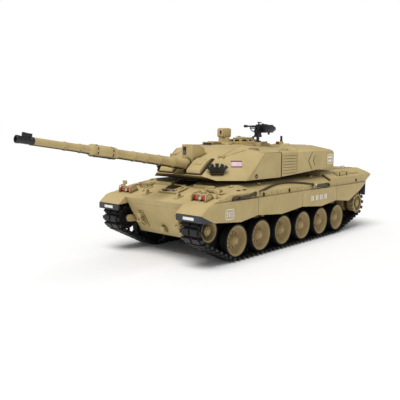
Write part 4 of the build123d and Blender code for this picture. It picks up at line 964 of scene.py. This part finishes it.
# %% Aerials
# dull brick red, one small spot of colour on the roof
red_plastic = finish_material("red cap plastic", ("#8E2A22", "#A2362C"), 0.45, 4, 0.5, 0.02)
stubs = []
for x, s, low, high in ((20.0, 320.0, 171.6, 182.0), (-52.0, 330.0, 170.6, 181.0)):
    stubs.append(turned([(0, 0), (0, 2.7), (1.2, 2.9), (1.8, 2.2), (high - low - 0.6, 2.0),
                         (high - low, 1.5), (high - low, 0)], at(x, s, low), Z_AXIS, 0.15, 24))
dress(join(stubs), "aerial_stubs", gun_black, "turret")
cap = turned([(0, 0), (0, 2.2), (0.4, 3.2), (4.2, 3.0), (5.0, 1.8), (5.0, 0)], at(13, 318, 166.6),
             Z_AXIS, 0.15, 20)
lead = rod(at(13, 318, 169.0), at(20, 320, 171.4), 0.7, 0.1, 10)
dress(join([cap, lead]), "aerial_lead", red_plastic, "turret")
print("aerials", len(stubs))

# %% [markdown]
# The nose carries a lamp cluster on each fender: two red marker lamps with a clear headlamp
# between them, inside a bent bar guard. Lenses are domed, so each is turned as a shallow cap.

# %% Lamp clusters
LAMP_Z = 96.5
CLEAR_LAMP_X = 79.5
reds, clears = [], []
for x in (72.0, CLEAR_LAMP_X, 87.0):
    dome = turned([(-2.4, 0), (-2.2, 1.5), (-1.4, 2.8), (0.0, 3.6), (1.2, 3.7), (1.2, 0)],
                  at(x, 31.4, LAMP_Z), Y_AXIS, 0.08, 28)
    (clears if x == CLEAR_LAMP_X else reds).append(dome)
bezel = turned([(-1.6, 3.1), (-2.0, 3.5), (-1.2, 3.9), (2.6, 3.9), (2.6, 3.1), (-1.6, 3.1)],
               at(CLEAR_LAMP_X, 31.0, LAMP_Z), Y_AXIS, 0.12, 28)
# tail lamps
for x in (80.5, 89.5):
    reds.append(turned([(0.3, 0), (0.3, 2.5), (-0.4, 2.4), (-1.3, 1.5), (-1.5, 0)], at(x, 518.8, 107),
                       -Y_AXIS, 0.08, 24))
print("lamps on each side", len(reds) + len(clears))
dress(both_sides(join(reds)), "red_lamps", red_lens, "hull", ["lamp_lenses"])
dress(both_sides(join(clears)), "head_lamps", clear_lens, "hull")
dress(both_sides(bezel), "lamp_bezels", paint, "hull")

# %% [markdown]
# Around the lamps and over the front sit small fittings: bent guard bars, grab rails, a splash
# plate, tool boxes and filler caps. They stand on a plate that slopes, so its height comes first.

# %% Front fittings
SLOPE_GLACIS = 22 / 86


def deck_z(s):
    """Height of the sloping glacis plate, level from s = 100."""
    return min(88 + (s - 14) * SLOPE_GLACIS, 110)


hull_bits, dark_bits = [], []
# guard over the lamps
for x in (66.4, 93.0):
    hull_bits.append(tube([at(x, 27, deck_z(27) - 0.4), at(x, 26.6, 100), at(x, 30, 103.4), at(x, 40, 103.2),
                           at(x, 44, deck_z(44) - 0.4)], 0.8))
hull_bits.append(tube([at(66.4, 28.2, 102.2), at(70, 27.6, 102.6), at(90, 27.6, 102.6),
                       at(93, 28.2, 102.2)], 0.7))
# rail across the glacis with the splash plate behind it
hull_bits.append(prism([(76, deck_z(76) - 0.3), (77.4, deck_z(76) + 4.6), (78.4, deck_z(76) + 4.6),
                        (78.4, deck_z(78) - 0.3)], 24, 66, 0.3))
hull_bits.append(tube([at(x, s, z) for x, s, z in
                       ((52, 40, deck_z(40) - 0.3), (52, 40, deck_z(40) + 3.6), (52, 62, deck_z(62) + 3.6),
                        (52, 62, deck_z(62) - 0.3))], 0.8))
hull_bits.append(tube([at(x, 56, z) for x, z in ((58, deck_z(56) - 0.3), (58, deck_z(56) + 3.2),
                                                 (74, deck_z(56) + 3.2), (74, deck_z(56) - 0.3))], 0.8))
# tool boxes and clips on the front fender
hull_bits.append(slab((60, 86), (62, 72), (deck_z(67) - 0.6, deck_z(67) + 4.2), 0.6))
hull_bits.append(slab((63, 66), (61, 73), (deck_z(67) - 0.8, deck_z(67) + 4.9), 0.3))
hull_bits.append(slab((80, 83), (61, 73), (deck_z(67) - 0.8, deck_z(67) + 4.9), 0.3))
hull_bits.append(slab((90, 97), (58, 78), (deck_z(68) - 2.0, deck_z(68) + 0.4), 0.5))
# deck filler caps ahead of and beside the turret
for x, s, radius in ((86, 92, 3.6), (30, 88, 3.0), (92, 150, 3.2), (78, 330, 4.4), (88, 312, 3.2)):
    hull_bits.append(turned([(-0.6, 0), (-0.6, radius), (1.0, radius), (1.6, radius - 0.9), (1.6, 1.5),
                             (2.4, 1.1), (2.4, 0)], at(x, s, deck_z(s) - (x > 89) * 1.2), Z_AXIS, 0.2, 24))
front_count = len(hull_bits)
print("front fittings on each side", front_count)

# %% [markdown]
# Along the side runs a row of bolts and clips. The raised engine deck behind has ribs, lifting
# lugs and strapped stowage, and there is a towing ring on the nose and grilles on the tail. All
# are simple bars and boxes with rounded edges, mirrored to the other side in one go.

# %% Side, deck, nose and tail fittings
# bolts along the side band under the cable
bolt = rod(at(107.3, 0, 95.6), at(108.3, 0, 95.6), 0.8, 0.15, 6)
for s in (40, 55, 70, 135, 150, 165, 190, 215, 240, 262, 275, 298, 330, 355, 375, 395, 415, 435, 455, 475):
    hull_bits.append(moved_copy(bolt, (0, s * MM, 0)))
bpy.data.objects.remove(bolt)
# dark clips along the side band
for s, z in ((143, 94.5), (214, 95.5), (452, 97)):
    dark_bits.append(slab((107.2, 109.0), (s - 1.4, s + 1.4), (z - 2.6, z + 2.6), 0.3))
# raised engine deck: frames, lifting lugs and a triangular bracket on its front corner
for s in (371, 434, 444, 491):
    hull_bits.append(slab((2, 79), (s - 0.8, s + 0.8), (117.7, 118.8), 0.25))
for x in (3, 40, 78):
    hull_bits.append(slab((x - 0.8, x + 0.8), (371, 491), (117.7, 118.7), 0.25))
hull_bits.append(prism([(352, 117.4), (352, 124.5), (354.5, 124.5), (366, 117.4)], 78, 80.2, 0.3))
for s in (378, 478):
    hull_bits.append(tube([at(70, s, 117.6), at(70, s, 121.4), at(60, s, 121.4), at(60, s, 117.6)], 0.7))
# stowage on the rear fender, held by two straps
hull_bits.append(slab((86.5, 103.5), (384, 428), (107.5, 114.4), 0.9))
for s in (392, 420):
    dark_bits.append(slab((86.1, 103.9), (s - 1.4, s + 1.4), (107.0, 114.8), 0.3))
hull_bits.append(slab((88, 102), (440, 470), (108.0, 112.6), 0.8))
# towing ring on the nose, slots on the fender and grilles on the tail
RING_X = 41
hull_bits.append(tube([at(RING_X + x, s, z) for x, s, z in
                       ((-4, 28.8, 56), (-4.6, 24.0, 53), (-2.4, 21.4, 50), (2.4, 21.4, 50),
                        (4.6, 24.0, 53), (4, 28.8, 56))], 1.0))
# the fender slots are dark plates of painted shade
for s in (90, 104):
    dark_bits.append(slab((99.5, 101.5), (s - 4, s + 4), (103.6, 104.6), 0.2))
for x in (14, 40, 66):
    hull_bits.append(slab((x - 9, x + 9), (505.4, 508.6), (84, 100), 0.6))
    # dark strips of painted shade between the grille bars
    for row in range(5):
        low = 86.2 + row * 2.8
        dark_bits.append(slab((x - 7, x + 7), (508.4, 508.9), (low, low + 1.2), 0.1))
print("more fittings on each side", len(hull_bits) - front_count, "and dark bits", len(dark_bits))
dress(both_sides(join(hull_bits)), "hull_hardware", paint, "hull")
dress(both_sides(join(dark_bits)), "hull_dark_bits", dark_paint_and_shade, "hull")

# %% [markdown]
# The driver looks out through three blocks of glass in the hatch. The plate behind them is
# recessed and always in shade, so thin dark plates lie on the hatch and behind it.

# %% Driver's glass and the shade behind it
blocks = [slab((x - 2.8, x + 2.8), (46.6, 47.2), (deck_z(49) + 1.9, deck_z(49) + 4.4), 0.2)
          for x in (-11, 0, 11)]
dress(join(blocks), "driver_glass", dark_glass, "driver_hatch")


def slope_film(outline, lift, rise):
    """A thin shape at a height over the sloping glacis, from corners given as (x, s)."""
    return plate([at(x, s, deck_z(s) + lift) for x, s in outline], (0, 0, rise * MM), 0.1)


# a dark wedge of painted shade on the hatch, and a dark plate of painted shade in the recess behind it
dress(slope_film([(-9, 44), (-1.5, 44), (7.5, 69), (-19, 69)], 2.7, 0.7), "driver_hatch_shade_film", dark_paint_and_shade,
      "driver_hatch")
dress(slope_film([(-20, 73), (9, 73), (13, 99.5), (-28, 99.5)], 0, 0.6), "driver_recess_shade", dark_paint_and_shade,
      "hull")
rail = [tube([at(x, 56, deck_z(56) + 2.4), at(x, 56, deck_z(56) + 4.8), at(x, 64, deck_z(64) + 4.8),
              at(x, 64, deck_z(64) + 2.4)], 0.7) for x in (-15, 15)]
dress(join(rail), "driver_hatch_rails", paint, "driver_hatch")
print("driver's glass blocks", len(blocks))

# %% [markdown]
# The hatch lids on the roof are dished plates with a handle and a lock. Handles are bent bars.

# %% Hatch lids
lid = [turned([(-0.2, 0), (-0.2, 11.6), (0.3, 12.2), (1.0, 11.8), (1.2, 4.6), (1.9, 3.8), (1.9, 0)],
              at(CUPOLA_X, CUPOLA_S, 178.2), Z_AXIS, 0.2),
       tube([at(-39, 260, 178.4), at(-39, 260, 181.0), at(-39, 274, 181.0), at(-39, 274, 178.4)], 0.6)]
dress(join(lid), "commander_lid_detail", paint, "commander_hatch")
lid = [turned([(-0.2, 0), (-0.2, 10.6), (0.3, 11.2), (0.9, 10.8), (1.1, 0)], at(30, 229, 171.7), Z_AXIS, 0.2),
       tube([at(24, 221, 171.8), at(24, 221, 174.4), at(36, 221, 174.4), at(36, 221, 171.8)], 0.6),
       slab((27.5, 32.5), (231, 238), (172.4, 173.8), 0.3)]
dress(join(lid), "loader_lid_detail", paint, "loader_hatch")
print("two hatch lids")

# %% [markdown]
# Markings on such a model are thin transfers. These are plain white shapes with no wording: an
# outlined square on the skirt and on the bin, pairs of short bars on the skirt and blank plates
# on the front flaps.

# %% Plain transfers
hull_films, bin_films = [], []
for side in (LEFT, RIGHT):
    # outlined square and short bars on the skirt
    face = sorted((side * 109.95, side * 110.12))
    for s, z in (((50, 51.2), (66, 81)), ((67.6, 68.8), (66, 81)), ((50, 68.8), (66, 67.2)),
                 ((50, 68.8), (79.8, 81)), ((53.4, 55.4), (69.5, 77.5)), ((58.2, 60.2), (69.5, 77.5)),
                 ((63.0, 65.0), (69.5, 77.5)), ((53.4, 65.0), (72.7, 74.1))):
        hull_films.append(slab(face, s, z, 0))
    for bar_number, s in enumerate(range(281, 332, 5)):
        if bar_number % 3 != 2:
            hull_films.append(slab(face, (s, s + 2.6), (71.5, 80.5), 0))
    # outlined square on the bin
    face = sorted((side * 98.45, side * 98.62))
    for s, z in (((352, 353.2), (132, 149.5)), ((370.8, 372), (132, 149.5)), ((352, 372), (132, 133.2)),
                 ((352, 372), (148.3, 149.5)), ((355.5, 368.5), (135.5, 139.5)),
                 ((355.5, 368.5), (142, 146))):
        bin_films.append(slab(face, s, z, 0))
# blank plates on the front flaps
for side in (LEFT, RIGHT):
    x = side * 86
    hull_films.append(slab((x - 10, x + 10), (-0.12, 0.05), (69.8, 73.8), 0))
print("transfers", len(hull_films), "on the hull and", len(bin_films), "on the bins")
dress(join(hull_films), "hull_transfers", decal_white, "hull")
dress(join(bin_films), "bin_transfers", decal_white, "turret")


# %% [markdown]
# A plain pale panel between two dark stripes lies on each cheek. The cheek slopes two ways, so a
# thin slab is made flat and then turned to lie along the plate.

# %% Cheek panels
def cheek_film(low_side, high_side, low_up, high_up, finish, name, proud=0.14):
    """A thin film lying on each cheek, between distances along and up the plate."""
    centre = at(75, 117, 139.5)
    centre = centre - CHEEK * ((centre - at(66, 80, 117)).dot(CHEEK))
    along_plate = Vector((CHEEK.y, -CHEEK.x, 0)).normalized() * -1
    up = CHEEK.cross(along_plate).normalized()
    up = up if up.z > 0 else -up
    piece = slab((low_side, high_side), (low_up, high_up), (-0.1, proud), 0)
    lie_flat = Matrix((along_plate, up, CHEEK)).transposed().to_4x4()
    piece.data.transform(Matrix.Translation(centre) @ lie_flat @ Matrix.Translation(-at(0, 0, 0)))
    return dress(both_sides(face_outward(piece)), name, finish, "turret")


# pale rose and a plum that is nearly black, the only cool tones on the tank
decal_blush = finish_material("pale rose transfer film", ("#D9A9B8", "#EBC9D2"), 0.5, 5, 0.5, 0.01)
plum = finish_material("muted plum transfer film", ("#3F3049", "#4A3A55"), 0.5, 6, 0.5, 0.01)
cheek_film(-7.5, 7.5, -6, 6, decal_blush, "cheek_panel")
cheek_film(-8.5, 8.5, 3.9, 6.2, plum, "cheek_stripe_top", 0.24)
cheek_film(-8.5, 8.5, -6.2, -4.4, plum, "cheek_stripe_bottom", 0.24)
print("cheek panels")

# %% [markdown]
# White tape marks the end of each tow cable where it leaves the clamp. It is a short sleeve,
# turned round the line of the cable.

# %% Cable fittings
tape = turned([(-2.6, 1.3), (-2.6, 1.75), (2.6, 1.75), (2.6, 1.3), (-2.6, 1.3)], at(109.6, 293.5, 99.1),
              at(109.4, 303, 96.4) - at(109.9, 283, 101.0), 0.1, 20)
dress(both_sides(tape), "cable_tape", decal_white, "hull")
print("cable tape")
